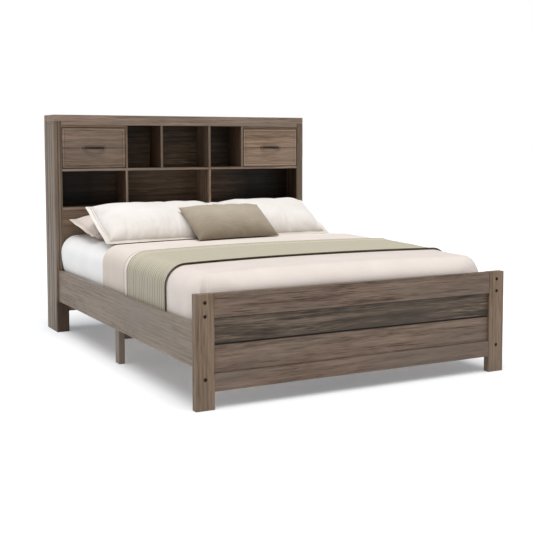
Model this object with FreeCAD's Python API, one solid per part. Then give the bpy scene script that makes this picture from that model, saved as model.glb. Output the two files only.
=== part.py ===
"""Bookcase headboard bed, queen size, with two drawers in the headboard and its bedding.

Units are millimetres. +Z is up, +X is to the right of someone looking at the footboard, and +Y runs
from the footboard to the headboard. The origin is on the floor, under the middle of the bed.
"""
import FreeCAD, Part
import math
import os

# ---------------------------------------------------------------- driving dimensions: overall
HEADBOARD_WIDTH = 1680.0
HEADBOARD_DEPTH = 216.0
HEADBOARD_HEIGHT = 1300.0
BED_LENGTH = 2296.0
FOOTBOARD_WIDTH = HEADBOARD_WIDTH - 24.0  # the straight side rails tie the two ends together
FOOTBOARD_HEIGHT = 500.0
EASE = 2.0  # radius that takes the sharpness off a visible board's edges

# ---------------------------------------------------------------- headboard case
GABLE_THICKNESS = 18.0
POST_THICKNESS = 22.0
STILE_WIDTH = 44.0
LEG_WIDTH = 72.0
LEG_BLOCK_DEPTH = 60.0
CAP_THICKNESS = 38.0
TOP_PANEL_THICKNESS = 22.0
SHELF_THICKNESS = 14.0
DIVIDER_THICKNESS = 14.0
BACK_THICKNESS = 6.0
BACK_INSET = 10.0
UPPER_CUBBY_HEIGHT = 262.0
LOWER_CUBBY_HEIGHT = 216.0
CENTRE_CUBBY_WIDTH = 310.0
SIDE_CUBBY_WIDTH = 216.0
PANEL_SETBACK = 3.0
LOWER_PANEL_THICKNESS = 19.0
CROSS_RAIL_THICKNESS = 22.0
CROSS_RAIL_BOTTOM = 125.0
FLUTE_WIDTH = 5.0
FLUTE_DEPTH = 2.0
STILE_FLUTES = (20.0, 37.0)
GABLE_FLUTES = (41.0, 84.0, 142.0)
NECK_LINE_DROP = 11.0

# ---------------------------------------------------------------- drawers
DRAWER_GAP = 2.0
KICKER_HEIGHT = 14.0
KICKER_THICKNESS = 16.0
DRAWER_FRONT_THICKNESS = 18.0
DRAWER_BOARD = 12.0
DRAWER_BOTTOM_THICKNESS = 6.0
DRAWER_BOTTOM_LIFT = 12.0
DRAWER_BACK_GAP = 14.0
DRAWER_SIDE_GAP = 3.0
DRAWER_BOX_DROP = 26.0
DRAWER_BOX_LIFT = 10.0
BOTTOM_GROOVE_DEPTH = 5.0
RUNNER_HEIGHT = 14.0
RUNNER_GROOVE_DEPTH = 6.0
RUNNING_CLEARANCE = 0.3
HANDLE_HOLE_SPACING = 128.0
HANDLE_LENGTH = 150.0
HANDLE_HEIGHT = 15.0
HANDLE_END_HEIGHT = 7.0
HANDLE_REACH = 26.0
HANDLE_BAR = 7.0
HANDLE_SCREW_RADIUS = 2.0
HANDLE_SCREW_HEAD_RADIUS = 4.5
HANDLE_SCREW_HEAD_HEIGHT = 2.4
HANDLE_THREAD_DEPTH = 9.0

# ---------------------------------------------------------------- side rails and mattress support
RAIL_THICKNESS = 22.0
RAIL_HEIGHT = 186.0
RAIL_TOP = 372.0
SLAT_TOP_DROP = 73.0
SLAT_THICKNESS = 18.0
SLAT_WIDTH = 72.0
SLAT_COUNT = 13
SLAT_END_GAP = 6.0
FIRST_SLAT_GAP = 40.0
CLEAT_WIDTH = 30.0
CLEAT_HEIGHT = 40.0
BRACKET_REACH = 60.0
BRACKET_FOOT = 33.0
BRACKET_HEIGHT = 92.0
BRACKET_THICKNESS = 3.0
BRACKET_TOP_DROP = 8.0
BRACKET_HOLE_INSET = 18.0
SCREW_RADIUS = 2.5
SCREW_HEAD_RADIUS = 5.0
SCREW_HEAD_HEIGHT = 3.0
SCREW_LENGTH = 16.0
CENTRE_BEAM_WIDTH = 25.0
CENTRE_BEAM_HEIGHT = 60.0
CROSS_BEAM_THICKNESS = 24.0
HANGER_THICKNESS = 2.5
HANGER_DEPTH = 36.0
HANGER_CHEEK_HEIGHT = 45.0
HANGER_FLANGE = 22.0
HANGER_CLEARANCE = 0.5
MID_LEG_WIDTH = 32.0
MID_LEG_DEPTH = 55.0
MID_LEG_FROM_HEAD = 998.0

# ---------------------------------------------------------------- footboard
FOOTBOARD_THICKNESS = 38.0
FOOT_POST_WIDTH = 88.0
FOOT_RAIL_THICKNESS = 28.0
FOOT_RAIL_SETBACK = 2.0
TOP_RAIL_HEIGHT = 109.0
BOTTOM_RAIL_HEIGHT = 76.0
BOTTOM_RAIL_LIFT = 78.0
PLANK_THICKNESS = 16.0
PLANK_RECESS = 12.0
PLANK_TONGUE = 8.0
PLANK_CHAMFER = 2.5
PLANK_JOINT_DROP = 112.0
FIT_CLEARANCE = 0.2
TENON_LENGTH = 60.0
TENON_THICKNESS = 12.0
TENON_SHOULDER = 4.0
TOP_TENON_SHOULDER = 16.0
BOLT_HEIGHTS_BELOW_TOP = (37.0, 96.0)
LOWER_BOLT_LIFT = 56.0
BOLT_RECESS_RADIUS = 7.5
BOLT_RECESS_DEPTH = 9.0
BOLT_HEAD_RADIUS = 5.5
BOLT_HEAD_HEIGHT = 6.0
BOLT_SOCKET_ACROSS = 5.0
BOLT_SOCKET_DEPTH = 3.0
BOLT_RADIUS = 3.0
NUT_RADIUS = 6.0
NUT_LENGTH = 7.0
NUT_RECESS_RADIUS = 7.0
NUT_RECESS_DEPTH = 8.0

# ---------------------------------------------------------------- bedding
BEDDING_GAP = 3.0
SOFT_CLEARANCE = 0.3
MATTRESS_HEIGHT = 291.0
MATTRESS_CROWN = 8.0
HEAD_CROWN = 7.0
SIDE_SWELL = 1.0
HEAD_SWELL = 17.0
HEAD_EASE = 24.0
SHOULDER_SHARE = 0.33
FOOT_ROUND_SHARE = 0.31
FOOT_CORNER = 190.0
FOOT_DROP = 20.0
DUVET_SIDE = 7.0
DUVET_TOP = 10.0
DUVET_FROM_HEAD = 742.0
DUVET_TUCK = 30.0
THROW_THICKNESS = 4.0
THROW_FROM_HEAD = 1157.0
THROW_WIDTH = 530.0
THROW_TUCK = 20.0
BACK_PILLOW = (670.0, 460.0, 150.0)
WHITE_PILLOW_LEFT = (762.0, 476.0, 145.0)
WHITE_PILLOW_RIGHT = (604.0, 476.0, 145.0)
LUMBAR_CUSHION = (520.0, 304.0, 120.0)
BACK_PILLOW_X = (-430.0, 270.0)
BACK_PILLOW_FROM_HEAD = 262.0
BACK_PILLOW_LIFT = 52.0
BACK_PILLOW_TILT = 8.0
WHITE_PILLOW_X = (-384.0, 303.0)
WHITE_PILLOW_FROM_HEAD = (545.0, 525.0)
WHITE_PILLOW_LIFT = 89.0
WHITE_PILLOW_TILT = 21.0
CUSHION_X = -42.0
CUSHION_FROM_HEAD = 728.0
CUSHION_LIFT = 93.0
CUSHION_TILT = 34.0
CUSHION_TURN = 5.2

# ---------------------------------------------------------------- places worked out from them
foot_front = -BED_LENGTH / 2
foot_back = foot_front + FOOTBOARD_THICKNESS
head_back = BED_LENGTH / 2
head_face = head_back - HEADBOARD_DEPTH
head_side = HEADBOARD_WIDTH / 2
foot_side = FOOTBOARD_WIDTH / 2

gable_inner = head_side - GABLE_THICKNESS
stile_inner = head_side - STILE_WIDTH
leg_inner = head_side - LEG_WIDTH
post_back = head_face + POST_THICKNESS
panel_face = head_face + PANEL_SETBACK
back_face = head_back - BACK_INSET - BACK_THICKNESS

cap_bottom = HEADBOARD_HEIGHT - CAP_THICKNESS
upper_top = cap_bottom - TOP_PANEL_THICKNESS
upper_bottom = upper_top - UPPER_CUBBY_HEIGHT
lower_top = upper_bottom - SHELF_THICKNESS
lower_bottom = lower_top - LOWER_CUBBY_HEIGHT
shelf_bottom = lower_bottom - SHELF_THICKNESS

centre_half = CENTRE_CUBBY_WIDTH / 2
centre_divider_outer = centre_half + DIVIDER_THICKNESS
drawer_divider_inner = centre_divider_outer + SIDE_CUBBY_WIDTH
drawer_divider_outer = drawer_divider_inner + DIVIDER_THICKNESS

rail_inner = foot_side - RAIL_THICKNESS
rail_bottom = RAIL_TOP - RAIL_HEIGHT
slat_top = RAIL_TOP - SLAT_TOP_DROP
slat_bottom = slat_top - SLAT_THICKNESS
cleat_bottom = slat_bottom - CLEAT_HEIGHT
beam_bottom = slat_bottom - CENTRE_BEAM_HEIGHT
mid_leg_y = head_face - MID_LEG_FROM_HEAD

foot_post_inner = foot_side - FOOT_POST_WIDTH
foot_rail_front = foot_front + FOOT_RAIL_SETBACK
foot_rail_back = foot_rail_front + FOOT_RAIL_THICKNESS
top_rail_bottom = FOOTBOARD_HEIGHT - TOP_RAIL_HEIGHT
bottom_rail_top = BOTTOM_RAIL_LIFT + BOTTOM_RAIL_HEIGHT
plank_front = foot_rail_front + PLANK_RECESS
plank_back = plank_front + PLANK_THICKNESS
plank_joint = top_rail_bottom - PLANK_JOINT_DROP
tenon_front = foot_rail_front + (FOOT_RAIL_THICKNESS - TENON_THICKNESS) / 2
bolt_x = foot_side - FOOT_POST_WIDTH / 2
bolt_heights = [FOOTBOARD_HEIGHT - drop for drop in BOLT_HEIGHTS_BELOW_TOP]
bolt_heights.append(BOTTOM_RAIL_LIFT + LOWER_BOLT_LIFT)

throw_half = rail_inner - BEDDING_GAP
duvet_half = throw_half - THROW_THICKNESS
mattress_half = duvet_half - DUVET_SIDE
mattress_top = slat_top + MATTRESS_HEIGHT
duvet_foot = foot_back + BEDDING_GAP
mattress_foot = duvet_foot + DUVET_SIDE
mattress_head = head_face - SOFT_CLEARANCE
shoulder = MATTRESS_HEIGHT * SHOULDER_SHARE
foot_round = MATTRESS_HEIGHT * FOOT_ROUND_SHARE


# ---------------------------------------------------------------- shared shapes
def box(x, y, z):
    """A plain block from three (low, high) pairs."""
    corner = FreeCAD.Vector(x[0], y[0], z[0])
    return Part.makeBox(x[1] - x[0], y[1] - y[0], z[1] - z[0], corner)


def board(x, y, z, ease=EASE):
    """A block whose edges are all eased."""
    block = box(x, y, z)
    return block.makeFillet(ease, block.Edges)


def ease_edges(shape, picked, ease=EASE):
    """Ease the edges that picked, a test of an edge's box, accepts."""
    return shape.makeFillet(ease, [e for e in shape.Edges if picked(e.BoundBox)])


def rod(x, y, z, radius, length, axis=(0, 1, 0)):
    """A round bar that starts at a point and runs along an axis."""
    start = FreeCAD.Vector(x, y, z)
    return Part.makeCylinder(radius, length, start, FreeCAD.Vector(*axis))


def joined(shapes):
    """One solid made of solids that touch or overlap."""
    first, rest = shapes[0], shapes[1:]
    return first.fuse(rest).removeSplitter()


def mirrored(shape):
    """The same piece on the other side of the bed."""
    return shape.mirror(FreeCAD.Vector(0, 0, 0), FreeCAD.Vector(1, 0, 0))


def vee(along, start, end, centre, width, depth, inward):
    """A V-shaped cutter from start to end along an axis; inward points from the face into the wood."""
    across = FreeCAD.Vector(*along).cross(FreeCAD.Vector(*inward))
    face = FreeCAD.Vector(*centre)
    inward = FreeCAD.Vector(*inward)
    corners = [face + across * (width / 2), face - across * (width / 2), face + inward * depth]
    outline = Part.makePolygon(corners + corners[:1])
    outline.translate(FreeCAD.Vector(*along) * start)
    return Part.Face(outline).extrude(FreeCAD.Vector(*along) * (end - start))


def one_solid(shape):
    """The single solid in a shape that a cut has wrapped up."""
    return max(shape.Solids, key=lambda solid: solid.Volume)


def save(name, *solids):
    """Write a node's solids to its own file."""
    shape = solids[0] if len(solids) == 1 else Part.makeCompound(list(solids))
    shape.exportStep(f"parts/{name}.step")


# ---------------------------------------------------------------- headboard case
def headboard_post():
    """Left front post: a fluted stile above the side rail and a wide leg with a block below it."""
    stile = box((-head_side, -stile_inner), (head_face, post_back), (0, cap_bottom))
    leg = box((-head_side, -leg_inner), (head_face, post_back), (0, RAIL_TOP))
    block_y = (post_back, head_face + LEG_BLOCK_DEPTH)
    block = box((-gable_inner, -leg_inner), block_y, (0, RAIL_TOP))
    post = joined([stile, leg, block])
    outer_corner = lambda b: b.YMax < head_face + 1 and b.XMax < 1 - head_side and b.ZLength > 1
    post = ease_edges(post, outer_corner)
    neck = cap_bottom - NECK_LINE_DROP
    for offset in STILE_FLUTES:
        at = (offset - head_side, head_face, 0)
        post = post.cut(vee((0, 0, 1), RAIL_TOP, neck, at, FLUTE_WIDTH, FLUTE_DEPTH, (0, 1, 0)))
    neck_at = (0, head_face, neck)
    line = vee((1, 0, 0), -head_side, -stile_inner, neck_at, FLUTE_WIDTH, FLUTE_DEPTH, (0, 1, 0))
    side_at = (-head_side, 0, neck)
    side = vee((0, 1, 0), head_face, post_back, side_at, FLUTE_WIDTH, FLUTE_DEPTH, (1, 0, 0))
    screw_holes = post_screw_bars(head_face, -1, SCREW_RADIUS, 0, SCREW_LENGTH)
    return one_solid(post.cut([line, side] + screw_holes))


def gable():
    """Left end panel, from the floor to the cap, with flutes down its outside."""
    panel = box((-head_side, -gable_inner), (post_back, head_back), (0, cap_bottom))
    neck = cap_bottom - NECK_LINE_DROP
    for offset in GABLE_FLUTES:
        at = (-head_side, post_back + offset, 0)
        panel = panel.cut(vee((0, 0, 1), 0, neck, at, FLUTE_WIDTH, FLUTE_DEPTH, (1, 0, 0)))
    side_at = (-head_side, 0, neck)
    line = vee((0, 1, 0), post_back, head_back, side_at, FLUTE_WIDTH, FLUTE_DEPTH, (1, 0, 0))
    return one_solid(panel.cut(line))


def notched_shelf(front, back, z):
    """A shelf between the gables, narrowed at the front to pass between the posts."""
    wide = box((-gable_inner, gable_inner), (post_back, back), z)
    if front >= post_back:
        return wide
    narrow = box((-stile_inner, stile_inner), (front, post_back), z)
    return joined([wide, narrow])


def divider(x_low, z):
    """An upright between two cubbies, set back from the stiles like the shelf."""
    return board((x_low, x_low + DIVIDER_THICKNESS), (panel_face + 1, back_face), z, EASE / 2)


def make_headboard():
    left_post = headboard_post()
    left_gable = gable()
    save("headboard_post_left", left_post)
    save("headboard_post_right", mirrored(left_post))
    save("headboard_gable_left", left_gable)
    save("headboard_gable_right", mirrored(left_gable))
    save("headboard_cap", board((-head_side, head_side), (head_face, head_back),
                                (cap_bottom, HEADBOARD_HEIGHT)))
    save("headboard_top_panel", notched_shelf(panel_face - 1, head_back, (upper_top, cap_bottom)))
    save("headboard_middle_shelf", notched_shelf(panel_face + 1, back_face,
                                                 (lower_top, upper_bottom)))
    save("headboard_lower_shelf", notched_shelf(panel_face + 1, back_face,
                                                (shelf_bottom, lower_bottom)))
    save("headboard_back_panel", box((-gable_inner, gable_inner),
                                     (back_face, back_face + BACK_THICKNESS),
                                     (RAIL_TOP, upper_top)))
    save("headboard_lower_panel", board((-stile_inner, stile_inner),
                                        (panel_face, panel_face + LOWER_PANEL_THICKNESS),
                                        (RAIL_TOP, shelf_bottom)))
    cross_y = (panel_face, panel_face + CROSS_RAIL_THICKNESS)
    save("headboard_cross_rail", board((-leg_inner, leg_inner), cross_y,
                                       (CROSS_RAIL_BOTTOM, RAIL_TOP)))
    upper = (upper_bottom, upper_top)
    lower = (lower_bottom, lower_top)
    lows = (-drawer_divider_outer, -centre_divider_outer, centre_half, drawer_divider_inner)
    for number, low in enumerate(lows, start=1):
        save(f"upper_divider_{number}", divider(low, upper))
    save("lower_divider_left", divider(-drawer_divider_outer, lower))
    save("lower_divider_right", divider(centre_half, lower))


# ---------------------------------------------------------------- drawers
drawer_low_x = drawer_divider_outer + DRAWER_SIDE_GAP
drawer_high_x = stile_inner - DRAWER_SIDE_GAP
kicker_bottom = upper_top - KICKER_HEIGHT
front_z = (upper_bottom + DRAWER_GAP, kicker_bottom - DRAWER_GAP)
front_back = panel_face + DRAWER_FRONT_THICKNESS
box_z = (upper_bottom + DRAWER_BOX_LIFT, kicker_bottom - DRAWER_BOX_DROP)
box_back = back_face - DRAWER_BACK_GAP
runner_z = (box_z[0] + box_z[1]) / 2
bottom_z = (box_z[0] + DRAWER_BOTTOM_LIFT, box_z[0] + DRAWER_BOTTOM_LIFT + DRAWER_BOTTOM_THICKNESS)
handle_x = (drawer_divider_outer + stile_inner) / 2
handle_z = (front_z[0] + front_z[1]) / 2
tongue = RUNNER_GROOVE_DEPTH - RUNNING_CLEARANCE


def handle_holes(radius, y_start, length):
    """The two bars along a handle's screw axes, for screws and for their holes."""
    places = (handle_x - HANDLE_HOLE_SPACING / 2, handle_x + HANDLE_HOLE_SPACING / 2)
    return [rod(x, y_start, handle_z, radius, length) for x in places]


def drawer_front():
    """A drawer front with a groove across it at handle height."""
    x = (drawer_divider_outer + DRAWER_GAP, stile_inner - DRAWER_GAP)
    front = board(x, (panel_face, front_back), front_z)
    at = (0, panel_face, handle_z)
    front = front.cut(vee((1, 0, 0), x[0], x[1], at, FLUTE_WIDTH, FLUTE_DEPTH, (0, 1, 0)))
    groove = box((drawer_low_x, drawer_high_x), (front_back - BOTTOM_GROOVE_DEPTH, front_back),
                 bottom_z)
    holes = handle_holes(HANDLE_SCREW_RADIUS, panel_face, DRAWER_FRONT_THICKNESS)
    return one_solid(front.cut([groove] + holes))


def drawer_side(outer_face, inward):
    """A drawer side with a runner groove outside, open at the back, and a bottom groove inside."""
    inner_face = outer_face + inward * DRAWER_BOARD
    side = box(sorted((outer_face, inner_face)), (front_back, box_back), box_z)
    half = RUNNER_HEIGHT / 2 + RUNNING_CLEARANCE
    track = box(sorted((outer_face, outer_face + inward * RUNNER_GROOVE_DEPTH)),
                (front_back, box_back), (runner_z - half, runner_z + half))
    slot = box(sorted((inner_face, inner_face - inward * BOTTOM_GROOVE_DEPTH)),
               (front_back, box_back), bottom_z)
    return side.cut([track, slot])


def runner(fixed_face, outer_face, inward):
    """A hardwood runner from the case wall into a drawer side's groove."""
    height = (runner_z - RUNNER_HEIGHT / 2, runner_z + RUNNER_HEIGHT / 2)
    tip = outer_face + inward * tongue
    return box(sorted((fixed_face, tip)), (post_back, back_face), height)


def handle():
    """A slim bow handle: a curved bar seen from above, slimmer at its ends seen from the front."""
    def bow(half, reach, start):
        ends = [FreeCAD.Vector(handle_x + side * half, start, 0) for side in (-1, 1)]
        top = FreeCAD.Vector(handle_x, panel_face - reach, 0)
        return Part.Arc(ends[0], top, ends[1]).toShape(), ends

    half = HANDLE_LENGTH / 2
    outer, outer_ends = bow(half, HANDLE_REACH, panel_face)
    foot = (HANDLE_LENGTH - HANDLE_HOLE_SPACING) / 2
    inner, inner_ends = bow(half - 2 * foot, HANDLE_REACH - HANDLE_BAR, panel_face)
    feet = [Part.makeLine(outer_ends[i], inner_ends[i]) for i in (0, 1)]
    plan = Part.Face(Part.Wire(Part.__sortEdges__([outer, inner] + feet)))
    bar = plan.extrude(FreeCAD.Vector(0, 0, HANDLE_HEIGHT))
    bar.translate(FreeCAD.Vector(0, 0, handle_z - HANDLE_HEIGHT / 2))
    corners = []
    for side in (1, -1):
        for x in (-half, 0, half):
            tall = HANDLE_HEIGHT if x == 0 else HANDLE_END_HEIGHT
            corners.append(FreeCAD.Vector(handle_x + x, panel_face - 2 * HANDLE_REACH,
                                          handle_z + side * tall / 2))
    edges = [Part.Arc(*corners[:3]).toShape(), Part.makeLine(corners[2], corners[5]),
             Part.Arc(*corners[3:]).toShape(), Part.makeLine(corners[3], corners[0])]
    face = Part.Face(Part.Wire(Part.__sortEdges__(edges)))
    slim = face.extrude(FreeCAD.Vector(0, 3 * HANDLE_REACH, 0))
    sockets = handle_holes(HANDLE_SCREW_RADIUS, panel_face - HANDLE_THREAD_DEPTH,
                           HANDLE_THREAD_DEPTH)
    return one_solid(bar.common(slim).cut(sockets))


def handle_screws():
    """Two screws from inside the drawer front into the handle's feet."""
    length = DRAWER_FRONT_THICKNESS + HANDLE_THREAD_DEPTH
    shanks = handle_holes(HANDLE_SCREW_RADIUS, panel_face - HANDLE_THREAD_DEPTH, length)
    heads = handle_holes(HANDLE_SCREW_HEAD_RADIUS, front_back, HANDLE_SCREW_HEAD_HEIGHT)
    return [joined([shank, head]) for shank, head in zip(shanks, heads)]


def make_drawers():
    outer_face, inner_face = drawer_high_x, drawer_low_x
    slot_x = (inner_face + DRAWER_BOARD - BOTTOM_GROOVE_DEPTH,
              outer_face - DRAWER_BOARD + BOTTOM_GROOVE_DEPTH)
    back_x = (inner_face + DRAWER_BOARD, outer_face - DRAWER_BOARD)
    pieces = {
        "front": [drawer_front()],
        "side_outer": [drawer_side(outer_face, -1)],
        "side_inner": [drawer_side(inner_face, 1)],
        "back": [box(back_x, (box_back - DRAWER_BOARD, box_back), (bottom_z[1], box_z[1]))],
        "bottom": [box(slot_x, (front_back - BOTTOM_GROOVE_DEPTH, box_back), bottom_z)],
        "handle": [handle()],
        "handle_screws": handle_screws(),
    }
    for name, solids in pieces.items():
        save(f"drawer_right_{name}", *solids)
        save(f"drawer_left_{name}", *[mirrored(solid) for solid in solids])
    runners = [runner(gable_inner, outer_face, -1), runner(drawer_divider_outer, inner_face, 1)]
    save("drawer_runners", *runners, *[mirrored(one) for one in runners])
    kicker = box((drawer_divider_outer, stile_inner),
                 (panel_face + 1, panel_face + 1 + KICKER_THICKNESS), (kicker_bottom, upper_top))
    save("drawer_kicker_rails", kicker, mirrored(kicker))


# ---------------------------------------------------------------- side rails and mattress support
bracket_z = (slat_top - BRACKET_TOP_DROP - BRACKET_HEIGHT, slat_top - BRACKET_TOP_DROP)
screw_heights = (bracket_z[0] + BRACKET_HOLE_INSET, bracket_z[1] - BRACKET_HOLE_INSET)


def rail_screw_bars(butt, away, radius, start, length):
    """Bars along the screws through a left bracket's rail plate, outward from the bed's middle."""
    y = butt + away * (BRACKET_REACH - BRACKET_HOLE_INSET)
    return [rod(-start, y, z, radius, length, (-1, 0, 0)) for z in screw_heights]


def post_screw_bars(butt, away, radius, start, length):
    """Bars along the screws through a left bracket's post plate, into the post or leg."""
    x = BRACKET_THICKNESS + (BRACKET_FOOT - BRACKET_THICKNESS) / 2 - rail_inner
    return [rod(x, butt + away * start, z, radius, length, (0, -away, 0)) for z in screw_heights]


def bracket(butt, away):
    """An angle bracket in a left corner; butt is the face the rail ends on, away points off it."""
    plate_y = sorted((butt, butt + away * BRACKET_REACH))
    foot_y = sorted((butt, butt + away * BRACKET_THICKNESS))
    plate = box((-rail_inner, BRACKET_THICKNESS - rail_inner), plate_y, bracket_z)
    foot = box((-rail_inner, BRACKET_FOOT - rail_inner), foot_y, bracket_z)
    holes = rail_screw_bars(butt, away, SCREW_RADIUS, rail_inner - BRACKET_THICKNESS,
                            BRACKET_THICKNESS)
    holes += post_screw_bars(butt, away, SCREW_RADIUS, BRACKET_THICKNESS, BRACKET_THICKNESS)
    return joined([plate, foot]).cut(holes)


def bracket_screws(butt, away):
    """The screws that hold a left bracket to its rail and to its post."""
    inner = rail_inner - BRACKET_THICKNESS
    length = SCREW_LENGTH + BRACKET_THICKNESS
    screws = []
    for bars, start in ((rail_screw_bars, inner), (post_screw_bars, BRACKET_THICKNESS)):
        step = -SCREW_HEAD_HEIGHT if bars is rail_screw_bars else SCREW_HEAD_HEIGHT
        shanks = bars(butt, away, SCREW_RADIUS, start, length)
        heads = bars(butt, away, SCREW_HEAD_RADIUS, start + step, SCREW_HEAD_HEIGHT)
        screws += [joined([shank, head]) for shank, head in zip(shanks, heads)]
    return screws


def hanger(face, away):
    """A metal stirrup that carries an end of the centre beam; face is what it is fixed to."""
    half = CENTRE_BEAM_WIDTH / 2 + HANGER_CLEARANCE
    outer = half + HANGER_THICKNESS
    floor_z = beam_bottom - HANGER_THICKNESS
    top_z = beam_bottom + HANGER_CHEEK_HEIGHT
    plate = box((-outer - HANGER_FLANGE, outer + HANGER_FLANGE),
                sorted((face, face + away * HANGER_THICKNESS)), (floor_z, top_z))
    reach = sorted((face, face + away * HANGER_DEPTH))
    seat = box((-outer, outer), reach, (floor_z, beam_bottom))
    cheeks = [box(x, reach, (floor_z, top_z)) for x in ((-outer, -half), (half, outer))]
    return joined([plate, seat] + cheeks)


def make_mattress_support():
    corners = ((foot_back, 1), (head_face, -1))
    rail = board((-foot_side, -rail_inner), (foot_back, head_face), (rail_bottom, RAIL_TOP))
    holes = [bar for butt, away in corners
             for bar in rail_screw_bars(butt, away, SCREW_RADIUS, rail_inner, SCREW_LENGTH)]
    rail = one_solid(rail.cut(holes))
    save("side_rail_left", rail)
    save("side_rail_right", mirrored(rail))

    brackets = [bracket(butt, away) for butt, away in corners]
    screws = [screw for butt, away in corners for screw in bracket_screws(butt, away)]
    save("rail_brackets", *brackets, *[mirrored(one) for one in brackets])
    save("bracket_screws", *screws, *[mirrored(one) for one in screws])

    cleat = box((-rail_inner, CLEAT_WIDTH - rail_inner),
                (foot_back + BRACKET_REACH, head_face - BRACKET_REACH), (cleat_bottom, slat_bottom))
    save("slat_cleats", cleat, mirrored(cleat))

    half = rail_inner - SLAT_END_GAP
    first = foot_back + FIRST_SLAT_GAP
    last = head_face - FIRST_SLAT_GAP - SLAT_WIDTH
    pitch = (last - first) / (SLAT_COUNT - 1)
    slats = []
    for number in range(SLAT_COUNT):
        low = first + number * pitch
        slats.append(board((-half, half), (low, low + SLAT_WIDTH), (slat_bottom, slat_top)))
    save("mattress_slats", *slats)

    foot_hanger = hanger(plank_back, 1)
    head_hanger = hanger(panel_face, -1)
    save("beam_hangers", foot_hanger, head_hanger)
    beam_y = (plank_back + HANGER_THICKNESS, panel_face - HANGER_THICKNESS)
    beam_x = (-CENTRE_BEAM_WIDTH / 2, CENTRE_BEAM_WIDTH / 2)
    save("centre_beam", box(beam_x, beam_y, (beam_bottom, slat_bottom)))

    leg_inner_x = rail_inner - MID_LEG_WIDTH
    leg_y = (mid_leg_y - MID_LEG_DEPTH / 2, mid_leg_y + MID_LEG_DEPTH / 2)
    side_leg = board((-rail_inner, -leg_inner_x), leg_y, (0, cleat_bottom))
    save("mid_leg_left", side_leg)
    save("mid_leg_right", mirrored(side_leg))
    cross_y = (mid_leg_y - CROSS_BEAM_THICKNESS / 2, mid_leg_y + CROSS_BEAM_THICKNESS / 2)
    save("cross_beam", box((-leg_inner_x, leg_inner_x), cross_y, (CROSS_RAIL_BOTTOM, beam_bottom)))
    save("centre_leg", board((-MID_LEG_WIDTH / 2, MID_LEG_WIDTH / 2), leg_y,
                             (0, CROSS_RAIL_BOTTOM)))


# ---------------------------------------------------------------- footboard
def bolt_bars(radius, start, length):
    """Bars along the left post's three bolt axes, measured from the footboard's front."""
    return [rod(-bolt_x, foot_front + start, z, radius, length) for z in bolt_heights]


def foot_rail(z, tenon_z):
    """A footboard rail between the posts, with a tenon at each end."""
    body = board((-foot_post_inner, foot_post_inner), (foot_rail_front, foot_rail_back), z)
    reach = foot_post_inner + TENON_LENGTH
    tenon = box((-reach, reach), (tenon_front, tenon_front + TENON_THICKNESS), tenon_z)
    through = bolt_bars(BOLT_RADIUS, 0, FOOTBOARD_THICKNESS)
    through += [mirrored(bar) for bar in through]
    return joined([body, tenon]).cut(through)


def plank_groove(z):
    """The cut that takes a plank's tongue, with its fitting clearance."""
    reach = foot_post_inner + PLANK_TONGUE + FIT_CLEARANCE
    return box((-reach, reach), (plank_front - FIT_CLEARANCE, plank_back + FIT_CLEARANCE), z)


def foot_post(tenons):
    """Left footboard post with its mortises, plank groove, bolt recesses and nut recesses."""
    post = board((-foot_side, -foot_post_inner), (foot_front, foot_back), (0, FOOTBOARD_HEIGHT))
    cuts = []
    for low, high in tenons:
        end = foot_post_inner + TENON_LENGTH + 1
        side = (tenon_front - FIT_CLEARANCE, tenon_front + TENON_THICKNESS + FIT_CLEARANCE)
        cuts.append(box((-end, -foot_post_inner), side, (low - FIT_CLEARANCE, high + FIT_CLEARANCE)))
    seat = PLANK_TONGUE + FIT_CLEARANCE
    groove_z = (bottom_rail_top - seat, top_rail_bottom + seat)
    cuts.append(plank_groove(groove_z))
    cuts += bolt_bars(BOLT_RECESS_RADIUS, 0, BOLT_RECESS_DEPTH)
    cuts += bolt_bars(BOLT_RADIUS, 0, FOOTBOARD_THICKNESS)
    cuts += bolt_bars(NUT_RECESS_RADIUS, FOOTBOARD_THICKNESS - NUT_RECESS_DEPTH, NUT_RECESS_DEPTH)
    cuts += post_screw_bars(foot_back, 1, SCREW_RADIUS, 0, SCREW_LENGTH)
    return one_solid(post.cut(cuts))


def hex_socket(z):
    """The key socket in a bolt's head."""
    radius = BOLT_SOCKET_ACROSS / math.sqrt(3)
    start = foot_front + BOLT_RECESS_DEPTH - BOLT_HEAD_HEIGHT
    corners = []
    for number in range(7):
        turn = math.radians(60 * number)
        corners.append(FreeCAD.Vector(radius * math.cos(turn) - bolt_x, start,
                                      radius * math.sin(turn) + z))
    return Part.Face(Part.makePolygon(corners)).extrude(FreeCAD.Vector(0, BOLT_SOCKET_DEPTH, 0))


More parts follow.
